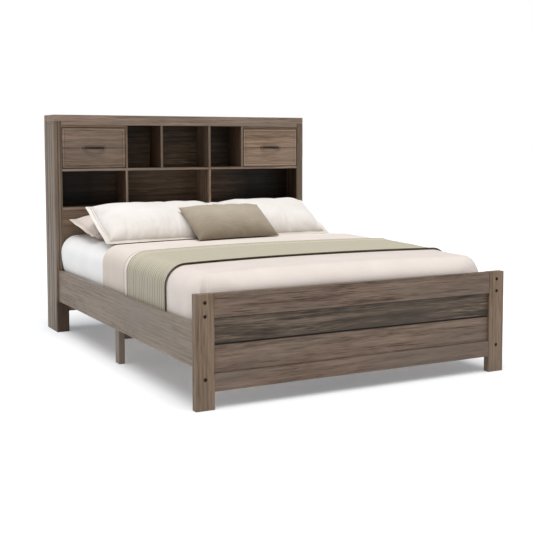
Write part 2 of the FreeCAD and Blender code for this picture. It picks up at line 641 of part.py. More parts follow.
def make_footboard():
    top_tenon = (top_rail_bottom + TENON_SHOULDER, FOOTBOARD_HEIGHT - TOP_TENON_SHOULDER)
    low_tenon = (BOTTOM_RAIL_LIFT + 2 * TENON_SHOULDER, bottom_rail_top - 2 * TENON_SHOULDER)
    post = foot_post((top_tenon, low_tenon))
    save("footboard_post_left", post)
    save("footboard_post_right", mirrored(post))

    tongue_in = PLANK_TONGUE + FIT_CLEARANCE
    top_rail = foot_rail((top_rail_bottom, FOOTBOARD_HEIGHT), top_tenon)
    top_rail = top_rail.cut(plank_groove((top_rail_bottom - 1, top_rail_bottom + tongue_in)))
    save("footboard_top_rail", one_solid(top_rail))
    bottom_rail = foot_rail((BOTTOM_RAIL_LIFT, bottom_rail_top), low_tenon)
    bottom_rail = bottom_rail.cut(plank_groove((bottom_rail_top - tongue_in, bottom_rail_top + 1)))
    save("footboard_bottom_rail", one_solid(bottom_rail))

    reach = foot_post_inner + PLANK_TONGUE
    spans = {
        "footboard_upper_plank": (plank_joint, top_rail_bottom + PLANK_TONGUE),
        "footboard_lower_plank": (bottom_rail_top - PLANK_TONGUE, plank_joint),
    }
    for name, span in spans.items():
        plank = box((-reach, reach), (plank_front, plank_back), span)
        at_joint = lambda b: b.XLength > 1 and b.YMax < plank_front + 1 and abs(b.ZMin - plank_joint) < 1
        picked = [edge for edge in plank.Edges if at_joint(edge.BoundBox)]
        save(name, plank.makeChamfer(PLANK_CHAMFER, picked))

    head_start = BOLT_RECESS_DEPTH - BOLT_HEAD_HEIGHT
    heads = bolt_bars(BOLT_HEAD_RADIUS, head_start, BOLT_HEAD_HEIGHT)
    shanks = bolt_bars(BOLT_RADIUS, BOLT_RECESS_DEPTH, FOOTBOARD_THICKNESS - BOLT_RECESS_DEPTH - 1)
    bolts = [joined([head, shank]).cut(hex_socket(z))
             for head, shank, z in zip(heads, shanks, bolt_heights)]
    save("footboard_bolts", *bolts, *[mirrored(bolt) for bolt in bolts])
    nut_start = FOOTBOARD_THICKNESS - NUT_RECESS_DEPTH
    bores = bolt_bars(BOLT_RADIUS, nut_start, NUT_LENGTH)
    nuts = [nut.cut(bore) for nut, bore in zip(bolt_bars(NUT_RADIUS, nut_start, NUT_LENGTH), bores)]
    save("footboard_nuts", *nuts, *[mirrored(nut) for nut in nuts])


# ---------------------------------------------------------------- bedding
def arc_through(points):
    return Part.Arc(*points).toShape()


def across(y, half, swell, crown, top, grow):
    """A cut across the bedding: flat below, upright sides that swell, round shoulders and a crown."""
    low = slat_top - grow
    hip = RAIL_TOP if swell > SIDE_SWELL else slat_top + MATTRESS_HEIGHT / 10
    half, top = half + grow, top + grow
    wide, ledge = half + swell, top - crown
    corner = shoulder * math.sqrt(0.5)
    arcs = []
    for side in (1, -1):
        spots = [(half, hip), (half + swell * 0.75, (hip + ledge - shoulder) / 2),
                 (wide, ledge - shoulder), (wide - shoulder + corner, ledge - shoulder + corner),
                 (wide - shoulder, ledge)]
        spots = [FreeCAD.Vector(side * x, y, z) for x, z in spots]
        arcs.append([spots[:3], spots[2:]])
    feet = [FreeCAD.Vector(side * half, y, low) for side in (1, -1)]
    (side_arc, shoulder_arc), (far_side_arc, far_shoulder_arc) = arcs
    edges = [Part.makeLine(feet[1], feet[0]), Part.makeLine(feet[0], side_arc[0]),
             arc_through(side_arc), arc_through(shoulder_arc),
             arc_through((shoulder_arc[2], FreeCAD.Vector(0, y, top), far_shoulder_arc[2])),
             arc_through(far_shoulder_arc[::-1]), arc_through(far_side_arc[::-1]),
             Part.makeLine(far_side_arc[0], feet[1])]
    return Part.Wire(edges)


def foot_sections(foot, half, crown, top, grow):
    """Cuts that round the bedding's foot end, in plan and over the top, up to the bed's middle."""
    sections = []
    for angle in (0, 18, 34, 50, 68, 90):
        turn = math.radians(angle)
        back = FOOT_CORNER * (1 - math.cos(turn))
        over = max(foot_round - back, 0)
        drop = FOOT_DROP * (1 - back / -foot) + foot_round - math.sqrt(foot_round ** 2 - over ** 2)
        narrow = FOOT_CORNER * (1 - math.sin(turn))
        sections.append(across(foot - grow + back, half - narrow, SIDE_SWELL, crown, top - drop, grow))
    sections.append(across(0, half, SIDE_SWELL, crown, top, grow))
    return sections


def mattress_form(grow=0.0):
    """The mattress in its fitted sheet, or the same form a little larger all round."""
    top = mattress_top
    sections = foot_sections(mattress_foot, mattress_half, MATTRESS_CROWN, top, grow)
    covered = head_face - DUVET_FROM_HEAD
    half = mattress_half + DUVET_SIDE
    eased = mattress_head - HEAD_EASE
    sections.append(across(covered, mattress_half, SIDE_SWELL, MATTRESS_CROWN, top, grow))
    sections.append(across(eased + grow, half, HEAD_SWELL, HEAD_CROWN, top, grow))
    sections.append(across(mattress_head + grow, half - HEAD_EASE / 2, HEAD_SWELL, HEAD_CROWN,
                           top - HEAD_EASE / 3, grow))
    return Part.makeLoft(sections, True, True)


def duvet_form(grow=0.0):
    """The outside of the duvet, as if it reached the headboard."""
    top = mattress_top + DUVET_TOP
    crown = MATTRESS_CROWN + 2
    sections = foot_sections(duvet_foot, duvet_half, crown, top, grow)
    sections.append(across(mattress_head + grow, duvet_half, SIDE_SWELL, crown, top, grow))
    return Part.makeLoft(sections, True, True)


def slab(y, z_low):
    """Everything across the bed between two y values and above a height."""
    return box((-head_side, head_side), y, (z_low, HEADBOARD_HEIGHT))


def duvet(grow=0.0):
    """The duvet: over the mattress and down between it and the rails."""
    edge = head_face - DUVET_FROM_HEAD + grow
    reach = slab((foot_front, edge), RAIL_TOP - DUVET_TUCK - grow)
    return duvet_form(grow).common(reach)


def throw():
    """The throw: a band across the duvet that hangs down both sides."""
    high = head_face - THROW_FROM_HEAD
    reach = slab((high - THROW_WIDTH, high), RAIL_TOP - THROW_TUCK)
    return one_solid(duvet_form(THROW_THICKNESS).common(reach).cut(duvet_form(SOFT_CLEARANCE)))


def pillow_outline(half_x, half_y, z):
    """A level pillow outline whose sides draw in between its corners."""
    draw = 0.045
    nib = 0.05 * half_y
    corners = ((1, 1), (-1, 1), (-1, -1), (1, -1))
    ends = []
    for side_x, side_y in corners:
        near_x = FreeCAD.Vector(side_x * (half_x - nib), side_y * half_y, z)
        near_y = FreeCAD.Vector(side_x * half_x, side_y * (half_y - nib), z)
        ends.append((near_y, near_x) if side_x == side_y else (near_x, near_y))
    edges = []
    for number, (first, last) in enumerate(ends):
        following = ends[(number + 1) % 4][0]
        middle = (last + following) * 0.5
        edges.append(Part.makeLine(first, last))
        centre_side = FreeCAD.Vector(middle.x * (1 - draw * half_y / half_x), middle.y * (1 - draw), z)
        edges.append(arc_through((last, centre_side, following)))
    return Part.Wire(edges)


def pillow_form(size, grow=0.0):
    """A crowned pillow lying flat on the origin: width, height and thickness, or a little larger."""
    half_x, half_y, half_z = (length / 2 + grow for length in size)
    crown_inset = 0.62 * half_y
    wires = []
    for angle in (-90, -65, -42, -22, -8, 8, 22, 42, 65, 90):
        rise = math.sin(math.radians(angle))
        inset = crown_inset * (1 - math.cos(math.radians(angle))) ** 0.8
        wires.append(pillow_outline(half_x - inset, half_y - inset, half_z * rise))
    return Part.makeLoft(wires, True, True)


def placed_pillow(size, x, y, z, tilt=0.0, turn=0.0, grow=0.0):
    """A pillow tilted up towards the headboard, turned about the vertical and moved to its place."""
    shape = pillow_form(size, grow)
    origin = FreeCAD.Vector(0, 0, 0)
    shape.rotate(origin, FreeCAD.Vector(1, 0, 0), tilt)
    shape.rotate(origin, FreeCAD.Vector(0, 0, 1), turn)
    shape.translate(FreeCAD.Vector(x, y, z))
    return shape


def make_bedding():
    save("mattress", mattress_form())
    save("duvet", one_solid(duvet().cut(mattress_form(SOFT_CLEARANCE))))
    save("throw", throw())
    under = [mattress_form(SOFT_CLEARANCE), duvet(SOFT_CLEARANCE)]

    back_y = head_face - BACK_PILLOW_FROM_HEAD
    back_z = mattress_top + BACK_PILLOW_LIFT
    backs, back_cutters = [], []
    for x in BACK_PILLOW_X:
        pillow = placed_pillow(BACK_PILLOW, x, back_y, back_z, tilt=BACK_PILLOW_TILT)
        backs.append(one_solid(pillow.cut(under)))
        back_cutters.append(placed_pillow(BACK_PILLOW, x, back_y, back_z, tilt=BACK_PILLOW_TILT,
                                          grow=SOFT_CLEARANCE))
    save("back_pillows", *backs)

    whites = (("white_pillow_left", WHITE_PILLOW_LEFT), ("white_pillow_right", WHITE_PILLOW_RIGHT))
    white_cutters = []
    for (name, size), x, from_head in zip(whites, WHITE_PILLOW_X, WHITE_PILLOW_FROM_HEAD):
        place = (x, head_face - from_head, mattress_top + WHITE_PILLOW_LIFT)
        pillow = placed_pillow(size, *place, tilt=WHITE_PILLOW_TILT)
        save(name, one_solid(pillow.cut(under + back_cutters)))
        white_cutters.append(placed_pillow(size, *place, tilt=WHITE_PILLOW_TILT,
                                           grow=SOFT_CLEARANCE))

    place = (CUSHION_X, head_face - CUSHION_FROM_HEAD, mattress_top + CUSHION_LIFT)
    cushion = placed_pillow(LUMBAR_CUSHION, *place, tilt=CUSHION_TILT, turn=CUSHION_TURN)
    save("lumbar_cushion", one_solid(cushion.cut(under + white_cutters)))


os.makedirs("parts", exist_ok=True)
make_headboard()
make_drawers()
make_mattress_support()
make_footboard()
make_bedding()
print(len(os.listdir("parts")), "nodes written")
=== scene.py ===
# %% [markdown]
# # A bookcase headboard bed
#
# The bed has a deep wooden headboard that is a bookcase, two side rails, a low planked footboard and a
# made-up mattress. The wooden and metal parts come from a CAD model that is loaded as a fixed frame, so
# they only need finishes. Everything soft is made here, because a CAD solid of a pillow or a duvet looks
# like a block. One unit is one metre, X runs across the bed, Y from its foot to its headboard and Z up.

# %% Load the frame
import math

import bmesh
import bpy
import numpy as np
from mathutils import Matrix, Vector, noise
from mathutils.bvhtree import BVHTree


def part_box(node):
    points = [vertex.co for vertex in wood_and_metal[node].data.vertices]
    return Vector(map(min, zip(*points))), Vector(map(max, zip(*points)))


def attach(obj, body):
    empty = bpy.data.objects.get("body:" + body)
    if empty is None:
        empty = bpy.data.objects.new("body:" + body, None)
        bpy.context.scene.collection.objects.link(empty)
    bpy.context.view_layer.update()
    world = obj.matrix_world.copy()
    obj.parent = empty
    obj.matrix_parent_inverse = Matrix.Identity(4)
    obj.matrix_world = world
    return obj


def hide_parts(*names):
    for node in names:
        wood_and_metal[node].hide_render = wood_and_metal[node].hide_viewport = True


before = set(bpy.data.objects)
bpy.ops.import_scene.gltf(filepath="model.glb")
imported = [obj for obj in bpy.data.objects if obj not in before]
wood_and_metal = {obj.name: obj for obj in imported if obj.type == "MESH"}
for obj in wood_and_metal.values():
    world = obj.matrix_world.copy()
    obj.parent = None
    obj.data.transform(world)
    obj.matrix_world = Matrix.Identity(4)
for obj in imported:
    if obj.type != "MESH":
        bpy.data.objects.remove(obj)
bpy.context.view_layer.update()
print(len(wood_and_metal), "nodes in the frame")

# %% [markdown]
# ## The camera
#
# A camera could be placed by eye, but a bed has many long straight edges, and a pinhole camera that was
# fitted to them puts every corner where it belongs. The camera stands at the left of the foot of the bed,
# a little above the mattress, and looks down a touch. The small shift keeps upright lines upright.

# %% Camera
lens_data = bpy.data.cameras.new("studio_camera")
lens_data.lens = 68.6
lens_data.sensor_width = 36.0
lens_data.shift_x = -0.0629
lens_data.shift_y = -0.0872
lens_data.clip_end = 100.0
studio_camera = bpy.data.objects.new("studio_camera", lens_data)
studio_camera.location = (-2.4766, -5.0448, 1.1365)
studio_camera.rotation_euler = (math.pi / 2 - 0.07637, 0.0, -0.50405)
bpy.context.scene.collection.objects.link(studio_camera)
bpy.context.scene.camera = studio_camera
print("camera at", tuple(studio_camera.location))

# %% [markdown]
# ## Helpers for materials
#
# Colours are written as the hex values a painter would pick on a screen. The renderer works in linear
# light, so one function turns them over. Another adds a shader node with its settings, and a third fills
# a node's inputs with values and links, which keeps each material short enough to read. Two more start a
# material and give a colour ramp its stops.

# %% Colour and node helpers
def colour(hex_value):
    """An sRGB hex colour as linear red, green, blue and alpha."""
    parts = [int(hex_value[i:i + 2], 16) / 255 for i in (1, 3, 5)]
    return tuple(c / 12.92 if c <= 0.04045 else ((c + 0.055) / 1.055) ** 2.4 for c in parts) + (1.0,)


def set_inputs(tree, node, inputs):
    """Fills a node's inputs. Each value is a number, a colour, an output, or a node for its first output."""
    for name, value in inputs.items():
        if isinstance(value, bpy.types.Node):
            value = value.outputs[0]
        if isinstance(value, bpy.types.NodeSocket):
            tree.links.new(value, node.inputs[name])
        else:
            node.inputs[name].default_value = value


def add_node(tree, kind, inputs=None, **settings):
    """One shader node with its settings and its inputs."""
    made = tree.nodes.new(kind)
    for name, value in settings.items():
        setattr(made, name, value)
    set_inputs(tree, made, inputs or {})
    return made


def new_finish(name):
    """An empty material, its node tree and its Principled shader."""
    finish = bpy.data.materials.new(name)
    finish.use_nodes = True
    tree = finish.node_tree
    return finish, tree, tree.nodes["Principled BSDF"]


def set_stops(ramp_node, stops):
    """Gives a colour ramp its stops, each a place from 0 to 1 and a hex colour."""
    ramp = ramp_node.color_ramp
    while len(ramp.elements) < len(stops):
        ramp.elements.new(0.5)
    for element, (place, hex_value) in zip(ramp.elements, stops):
        element.position = place
        element.color = colour(hex_value)
    return ramp_node


WHITE = colour("#ffffff")
print("white is", WHITE)

# %% [markdown]
# ## Studio floor and light
#
# The bed stands in a white studio. Most light comes down from a wide ceiling of softened lamps, which
# makes the top of the bedding brightest and leaves a soft grey shadow under the rails. A weaker wide
# light comes from the left, so the long side is lighter than the footboard, and little comes from the
# front, so the cubbies stay dark. Area lights would leave the far floor grey. Suns with a very wide
# angle are just as soft and light the whole floor evenly. The backdrop is pure white where it is seen,
# and lights the bed with less than that, as a white wall some way off does. The floor is a translucent
# white sheet over lamps, as on a product table, so its shadows stay light and slightly blue.

# %% Floor
FLOOR_REACH = 60.0
floor_mesh = bpy.data.meshes.new("studio_floor")
corners = [(x * FLOOR_REACH, y * FLOOR_REACH, 0.0) for x, y in ((-1, -1), (1, -1), (1, 1), (-1, 1))]
floor_mesh.from_pydata(corners, [], [(0, 1, 2, 3)])
studio_floor = bpy.data.objects.new("studio_floor", floor_mesh)
bpy.context.scene.collection.objects.link(studio_floor)

floor_paint, tree, shader = new_finish("white_studio_floor")
set_inputs(tree, shader, {
    "Base Color": colour("#ebebeb"), "Emission Color": colour("#dfe6f0"), "Emission Strength": 0.22,
    "Roughness": 0.9, "Specular IOR Level": 0.1})
floor_mesh.materials.append(floor_paint)
print("floor reaches", FLOOR_REACH, "m each way")

# %% Backdrop
backdrop = bpy.data.worlds.new("white_backdrop")
backdrop.use_nodes = True
sky_tree = backdrop.node_tree
lighting = sky_tree.nodes["Background"]
set_inputs(sky_tree, lighting, {"Color": WHITE, "Strength": 0.30})
seen = add_node(sky_tree, "ShaderNodeBackground", {"Color": WHITE, "Strength": 1.0})
which = add_node(sky_tree, "ShaderNodeMixShader", {
    0: add_node(sky_tree, "ShaderNodeLightPath").outputs["Is Camera Ray"], 1: lighting, 2: seen})
set_inputs(sky_tree, sky_tree.nodes["World Output"], {"Surface": which})
bpy.context.scene.world = backdrop
bpy.context.scene.view_settings.view_transform = "Standard"
print("backdrop is", backdrop.name)


# %% Lamps
def wide_sun(name, comes_from, brightness, spread):
    """A sun as soft as a wall of lamps: brightness on a face that looks at it, spread in degrees."""
    light = bpy.data.lights.new(name, "SUN")
    light.energy = brightness * math.pi
    light.angle = math.radians(spread)
    lamp = bpy.data.objects.new(name, light)
    lamp.rotation_euler = Vector(comes_from).to_track_quat("Z", "Y").to_euler()
    bpy.context.scene.collection.objects.link(lamp)


wide_sun("ceiling_lamps", (-0.09, -0.20, 1.0), 0.97, 58.0)
wide_sun("left_lamps", (-1.0, -0.25, 0.35), 0.015, 70.0)
print(len(bpy.data.lights), "lamps")

# %% [markdown]
# ## Weathered grey-brown wood
#
# The wood is stained a grey brown and left matt. What the eye reads is long streaks along each board,
# light and dark ones side by side, with slow patches where the brown turns grey, and here and there the
# nested arches that a saw makes where it leaves the growth rings at a shallow angle. An image of wood
# would repeat from board to board. Here the pattern is solid: growth rings round a tilted pith, plus
# noise that is stretched along the grain, so it also runs on round every edge as in a real board. Each
# board gets its own shift and its own tone. Pores of half a millimetre would vanish at this distance, so
# they are drawn three to four millimetres wide.

# %% Tones and sizes of the grain
tone_stops = {
    # dark latewood, stained middle, raised light grain, and the grey that the stain leaves in patches
    "rail": ("#3a2b21", "#6f5c4e", "#887566", "#6a6057"),
    "cap": ("#4c3b2f", "#8b7665", "#a69383", "#83786e"),
    "side": ("#54473d", "#807162", "#998c7c", "#807870"),
    "post": ("#48392d", "#77634f", "#907c6b", "#766a60"),
    "plank": ("#2b221b", "#524437", "#7c6b5b", "#4d453c"),
    "drawer_left": ("#473529", "#7a6656", "#a58f7e", "#807267"),
    "drawer_right": ("#564336", "#927b67", "#c0a793", "#968678"),
    "inside": ("#2a1e16", "#66523f", "#a08468", "#5f5041"),
    "leg": ("#42332a", "#6c5847", "#8a7462", "#6a5f54"),
    "pale": ("#a5845c", "#c0a179", "#d3b78f", "#bda283"),
}
GRAIN_ORDER = {"x": "XYZ", "y": "YZX", "z": "ZXY"}
STREAK_WIDTH = 0.015
PORE_WIDTH = 0.0035
HAIRLINE = 0.0045
HALF_RING = 0.009
PITH_TILT = 0.05
# the grain wanders sideways by some millimetres over half a metre, and shivers along the way: how each
# of the two is squeezed along and across the grain, and how far it moves the grain, in metres
wanderings = (((1.6, 6.0, 6.0), 0.015), ((7.0, 40.0, 40.0), 0.003))
grain_noises = {
    # where it starts, how it is squeezed along and across the grain, its detail and its roughness
    "streaks": ((0.0, 0.0, 0.0), (2.4, 1 / STREAK_WIDTH), 7.0, 0.68),
    "patches": ((0.0, 0.0, 0.0), (2.0, 14.0), 3.0, 0.55),
    "pores": ((0.0, 0.0, 0.0), (13.0, 1 / PORE_WIDTH), 2.0, 0.5),
    "cracks": ((7.0, 2.0, 5.0), (5.0, 1 / HAIRLINE), 3.0, 0.55),
}
print(len(tone_stops), "tones and", len(grain_noises), "noises")

# %% [markdown]
# Some boards get painted shade in places: where they stand inside the bookcase, in a groove or an open
# joint, in and round a bolt's recess, on the headboard's legs below the rail and round a drawer front,
# which also gets a painted highlight on its border. Each place is a band between two heights or
# distances, so one small helper makes a share that steps from 0 to 1 at an edge, and another multiplies
# the colour as far as that share says.

# %% Darker places
# the colour of the painted shade in grooves, joints and bolt recesses
LINE_PAINTED_SHADE = (0.10, 0.085, 0.075, 1.0)
# the back panel: painted shade on its inner face, and an even darker stain on its rear face
BACK_STAIN_AND_SHADE = (0.095, 0.085, 0.075, 1.0)
# painted shade on the headboard's legs below the rail
LEG_PAINTED_SHADE = (0.36, 0.32, 0.29, 1.0)
# painted shade inside the bookcase: how much of each colour it takes off at full strength
CASE_PAINTED_SHADE = (0.60, 0.68, 0.73)
# how far round a bolt's middle its painted shade reaches
RECESS_RADIUS = 0.0083
# in metres: the bookcase's front edge, half its width inside its end panels, and its lowest board
CASE_FRONT, CASE_HALF, CASE_FLOOR = 0.938, 0.824, 0.735
# a mix node has a set of ends for each type of value, and these are the numbers of its colour ends
MIX_FIRST, MIX_SECOND, MIX_RESULT = 6, 7, 2


def darken(tree, coloured, share, by):
    """Multiplies a colour by another one, as far as a share from 0 to 1 says."""
    return add_node(tree, "ShaderNodeMix", {"Factor": share, MIX_FIRST: coloured, MIX_SECOND: by},
                    data_type="RGBA", blend_type="MULTIPLY").outputs[MIX_RESULT]


def step_at(tree, value, edge, inward, soft=0.001):
    """1 on one side of an edge and 0 on the other: inward is 1 if the ones are above it, else -1."""
    return add_node(tree, "ShaderNodeMapRange", {
        "Value": value, "From Min": edge - soft, "From Max": edge + soft,
        "To Min": 0.0 if inward > 0 else 1.0, "To Max": 1.0 if inward > 0 else 0.0})


print("the bookcase's inside is", 2 * CASE_HALF, "m wide")


# %% Inside the bookcase
def darker_inside(tree, parts, coloured, strength):
    """Painted shade: darkens a board's colour where the board is inside the bookcase, behind its front edges.
    """
    aside = add_node(tree, "ShaderNodeMath", {0: parts.outputs["X"]}, operation="ABSOLUTE")
    share = step_at(tree, parts.outputs["Y"], CASE_FRONT, 1)
    for other in (step_at(tree, aside, CASE_HALF, -1), step_at(tree, parts.outputs["Z"], CASE_FLOOR, 1)):
        share = add_node(tree, "ShaderNodeMath", {0: share, 1: other}, operation="MULTIPLY")
    return darken(tree, coloured, share, tuple(1 - strength * part for part in CASE_PAINTED_SHADE) + (1.0,))


def back_panel_stain_and_shade(tree, parts, place, coloured):
    """The back panel's inner face gets painted shade, lighter behind the wide middle cubby and nearly black
    at the sides. Its rear face is stained one even darker brown."""
    from_heart = add_node(tree, "ShaderNodeMapping", {
        "Vector": place, "Location": (0.04, 0.0, -2.10), "Scale": (2.0, 0.0, 2.5)})
    far = add_node(tree, "ShaderNodeVectorMath", {0: from_heart}, operation="LENGTH")
    share = add_node(tree, "ShaderNodeMapRange", {
        "Value": far.outputs["Value"], "From Min": 0.36, "From Max": 1.10})
    middle = sum(corner.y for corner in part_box("headboard_back_panel")) / 2
    inner, rear = (step_at(tree, parts.outputs["Y"], middle, inward) for inward in (-1, 1))
    share = add_node(tree, "ShaderNodeMath", {0: share, 1: inner}, operation="MULTIPLY")
    share = add_node(tree, "ShaderNodeMath", {0: rear, 1: 0.5, 2: share}, operation="MULTIPLY_ADD")
    return darken(tree, coloured, share, BACK_STAIN_AND_SHADE)


print("shade inside the bookcase is ready")


# %% Lines, recesses and borders
def dark_lines(tree, parts, coloured, axis, places, above, strength, half):
    """Painted shade in a groove or an open joint, where the shade falls. The places are metres along an
    axis, the same on both sides of the middle, and only what is above a height is drawn."""
    value = add_node(tree, "ShaderNodeMath", {0: parts.outputs[axis]}, operation="ABSOLUTE")
    high = step_at(tree, parts.outputs["Z"], above, 1)
    for place in places:
        off = add_node(tree, "ShaderNodeMath", {0: value, 1: place}, operation="SUBTRACT")
        near = step_at(tree, add_node(tree, "ShaderNodeMath", {0: off}, operation="ABSOLUTE"), half, -1)
        share = add_node(tree, "ShaderNodeMath", {0: near, 1: high}, operation="MULTIPLY")
        share = add_node(tree, "ShaderNodeMath", {0: share, 1: strength}, operation="MULTIPLY")
        coloured = darken(tree, coloured, share, LINE_PAINTED_SHADE)
    return coloured


def dark_holes(tree, place, coloured, spots):
    """Painted shade, almost black, in and round a bolt's recess."""
    for x, z in spots:
        off = add_node(tree, "ShaderNodeMapping", {
            "Vector": place, "Location": (-x, 0.0, -z), "Scale": (1.0, 0.0, 1.0)})
        away = add_node(tree, "ShaderNodeVectorMath", {0: off}, operation="LENGTH")
        near = step_at(tree, away.outputs["Value"], RECESS_RADIUS, -1)
        coloured = darken(tree, coloured, near, LINE_PAINTED_SHADE)
    return coloured


def drawer_border_light_and_shade(tree, parts, coloured, low, high):
    """Painted light round a drawer front: painted shade on its dark outer edge, a painted highlight on the
    lighter border inside that, and painted shade on the thin line inside the border.
    """
    insets = []
    for axis in ("X", "Z"):
        middle, half = (low[axis] + high[axis]) / 2, (high[axis] - low[axis]) / 2
        off = add_node(tree, "ShaderNodeMath", {0: parts.outputs[axis], 1: middle}, operation="SUBTRACT")
        off = add_node(tree, "ShaderNodeMath", {0: off}, operation="ABSOLUTE")
        insets.append(add_node(tree, "ShaderNodeMath", {0: half, 1: off}, operation="SUBTRACT"))
    inset = add_node(tree, "ShaderNodeMath", {0: insets[0], 1: insets[1]}, operation="MINIMUM")
    share = add_node(tree, "ShaderNodeMath", {0: inset, 1: 1 / 0.03}, operation="MULTIPLY")
    # painted shade on the outer edge and the inner line, a painted highlight on the border between
    shade = set_stops(add_node(tree, "ShaderNodeValToRGB", {"Fac": share}), [
        (0.0, "#857e78"), (0.10, "#9c958f"), (0.14, "#ffffff"), (0.46, "#ffffff"), (0.52, "#c4bcb4"),
        (0.60, "#cbc4bd"), (0.66, "#f0ece9")])
    return darken(tree, coloured, 1.0, shade)


print("lines, recesses and borders are ready")

# %% [markdown]
# The figure of the wood is one number at every point of a board: the growth rings, streaks, patches and
# pores added up. A ramp turns that number into the stain's colours, and the same number makes the raised
# grain a little glossier and gives it relief. The stain then turns from brown to grey in slow patches.

# %% Figure of the wood
def wood_figure(tree, cut):
    """The figure of a board, from 0 to 1. The cut is the place in the board, with the grain along X."""
    wavy = cut
    for stretch, reach in wanderings:
        slow = add_node(tree, "ShaderNodeMapping", {"Vector": wavy, "Scale": stretch})
        wander = add_node(tree, "ShaderNodeTexNoise", {"Vector": slow, "Scale": 1.0, "Detail": 2.0})
        centred = add_node(tree, "ShaderNodeVectorMath", {0: wander.outputs["Color"], 1: (0.5, 0.5, 0.5)},
                           operation="SUBTRACT")
        sideways = add_node(tree, "ShaderNodeVectorMath", {0: centred, 1: (0.0, reach, reach)},
                            operation="MULTIPLY")
        wavy = add_node(tree, "ShaderNodeVectorMath", {0: wavy, 1: sideways}, operation="ADD")

    # growth rings round a pith that leaves the board at a small tilt
    pith = add_node(tree, "ShaderNodeMapping", {
        "Vector": wavy, "Location": (0.0, 0.02, 0.09), "Rotation": (0.0, PITH_TILT, PITH_TILT * 0.4)})
    from_pith = add_node(tree, "ShaderNodeVectorMath", {0: pith, 1: (0.0, 1.0, 1.0)}, operation="MULTIPLY")
    radius = add_node(tree, "ShaderNodeVectorMath", {0: from_pith}, operation="LENGTH")
    rings = add_node(tree, "ShaderNodeMath", {0: radius.outputs["Value"], 1: HALF_RING},
                     operation="PINGPONG")
    ring_share = add_node(tree, "ShaderNodeMath", {0: rings, 1: HALF_RING}, operation="DIVIDE")
    latewood = add_node(tree, "ShaderNodeMath", {0: ring_share, 1: 0.35}, operation="POWER")

    drawn = {}
    for kind, (start, (along, across), detail, roughness) in grain_noises.items():
        stretched = add_node(tree, "ShaderNodeMapping", {
            "Vector": wavy, "Location": start, "Scale": (along, across, across)})
        drawn[kind] = add_node(tree, "ShaderNodeTexNoise", {
            "Vector": stretched, "Scale": 1.0, "Detail": detail, "Roughness": roughness})
    figure = add_node(tree, "ShaderNodeMapRange", {
        "Value": drawn["cracks"], "From Min": 0.58, "From Max": 0.72, "To Min": 0.0, "To Max": -0.12})
    for layer, weight in ((drawn["streaks"], 0.34), (drawn["patches"], 0.26), (latewood, 0.09),
                          (drawn["pores"], 0.28)):
        figure = add_node(tree, "ShaderNodeMath", {0: layer, 1: weight, 2: figure},
                          operation="MULTIPLY_ADD")
    return figure


print("one growth ring is", HALF_RING * 2000, "mm wide")


# %% Stained board
def weathered_board(name, grain, tone, shift, contrast=1.0, cased=0.0, lines=None, border=None,
                    shaded_below=None, holes=None):
    """A stained board. Its grain runs along an axis and its tone is a row of the table. A cased board gets
    painted shade inside the bookcase, by a strength up to 1. Lines are grooves with painted shade, a
    border is a drawer front's corners, round which painted shade and a painted highlight go, holes are the
    middles of bolt recesses with painted shade, and what is below a height gets painted shade."""
    dark, middle, light, grey = tone_stops[tone]
    finish, tree, shader = new_finish(name)
    place = add_node(tree, "ShaderNodeTexCoord").outputs["Object"]
    parts = add_node(tree, "ShaderNodeSeparateXYZ", {"Vector": place})
    board = add_node(tree, "ShaderNodeCombineXYZ", {
        to: parts.outputs[axis] for to, axis in zip("XYZ", GRAIN_ORDER[grain])})
    cut = add_node(tree, "ShaderNodeMapping", {
        "Vector": board, "Location": (shift * 1.7, shift * 0.31, shift * 0.23)})
    figure = wood_figure(tree, cut)
    half_range = 0.15 / contrast
    stain = set_stops(add_node(tree, "ShaderNodeValToRGB", {"Fac": figure}), [
        (0.5 - half_range, dark), (0.5, middle), (0.5 + half_range, light)])

    slow = add_node(tree, "ShaderNodeMapping", {
        "Vector": cut, "Location": (3.1, 1.7, 0.4), "Scale": (1.3, 6.0, 6.0)})
    patchy = add_node(tree, "ShaderNodeTexNoise", {"Vector": slow, "Scale": 1.0, "Detail": 2.0})
    grey_share = add_node(tree, "ShaderNodeMapRange", {
        "Value": patchy, "From Min": 0.42, "From Max": 0.68, "To Min": 0.0, "To Max": 0.6})
    coloured = add_node(tree, "ShaderNodeMix", {
        "Factor": grey_share, MIX_FIRST: stain, MIX_SECOND: colour(grey)},
        data_type="RGBA", blend_type="MIX").outputs[MIX_RESULT]
    if cased:
        coloured = darker_inside(tree, parts, coloured, cased)
    # painted shade below a height, on the headboard's legs under the rail
    if shaded_below:
        low = step_at(tree, parts.outputs["Z"], shaded_below, -1, 0.03)
        coloured = darken(tree, coloured, low, LEG_PAINTED_SHADE)
    # painted shade on the back panel's inner face, an even darker stain on its rear
    if tone == "inside":
        coloured = back_panel_stain_and_shade(tree, parts, place, coloured)
    # painted shade and a painted highlight round a drawer front
    if border:
        coloured = drawer_border_light_and_shade(tree, parts, coloured, *border)
    # painted shade in grooves and joints
    if lines:
        coloured = dark_lines(tree, parts, coloured, *lines)
    # painted shade in and round the bolt recesses
    if holes:
        coloured = dark_holes(tree, place, coloured, holes)

    gloss = add_node(tree, "ShaderNodeMapRange", {
        "Value": figure, "From Min": 0.3, "From Max": 0.7, "To Min": 0.62, "To Max": 0.48})
    relief = add_node(tree, "ShaderNodeBump", {"Height": figure, "Distance": 0.002, "Strength": 0.35})
    set_inputs(tree, shader, {"Base Color": coloured, "Roughness": gloss, "Normal": relief, "IOR": 1.46,
                              "Specular IOR Level": 0.35})
    return finish


def give_finish(node_name, finish):
    """Puts a finish on a wooden or metal part in place of its plain one."""
    materials = wood_and_metal[node_name].data.materials
    materials.clear()
    materials.append(finish)


print("wood can be stained")
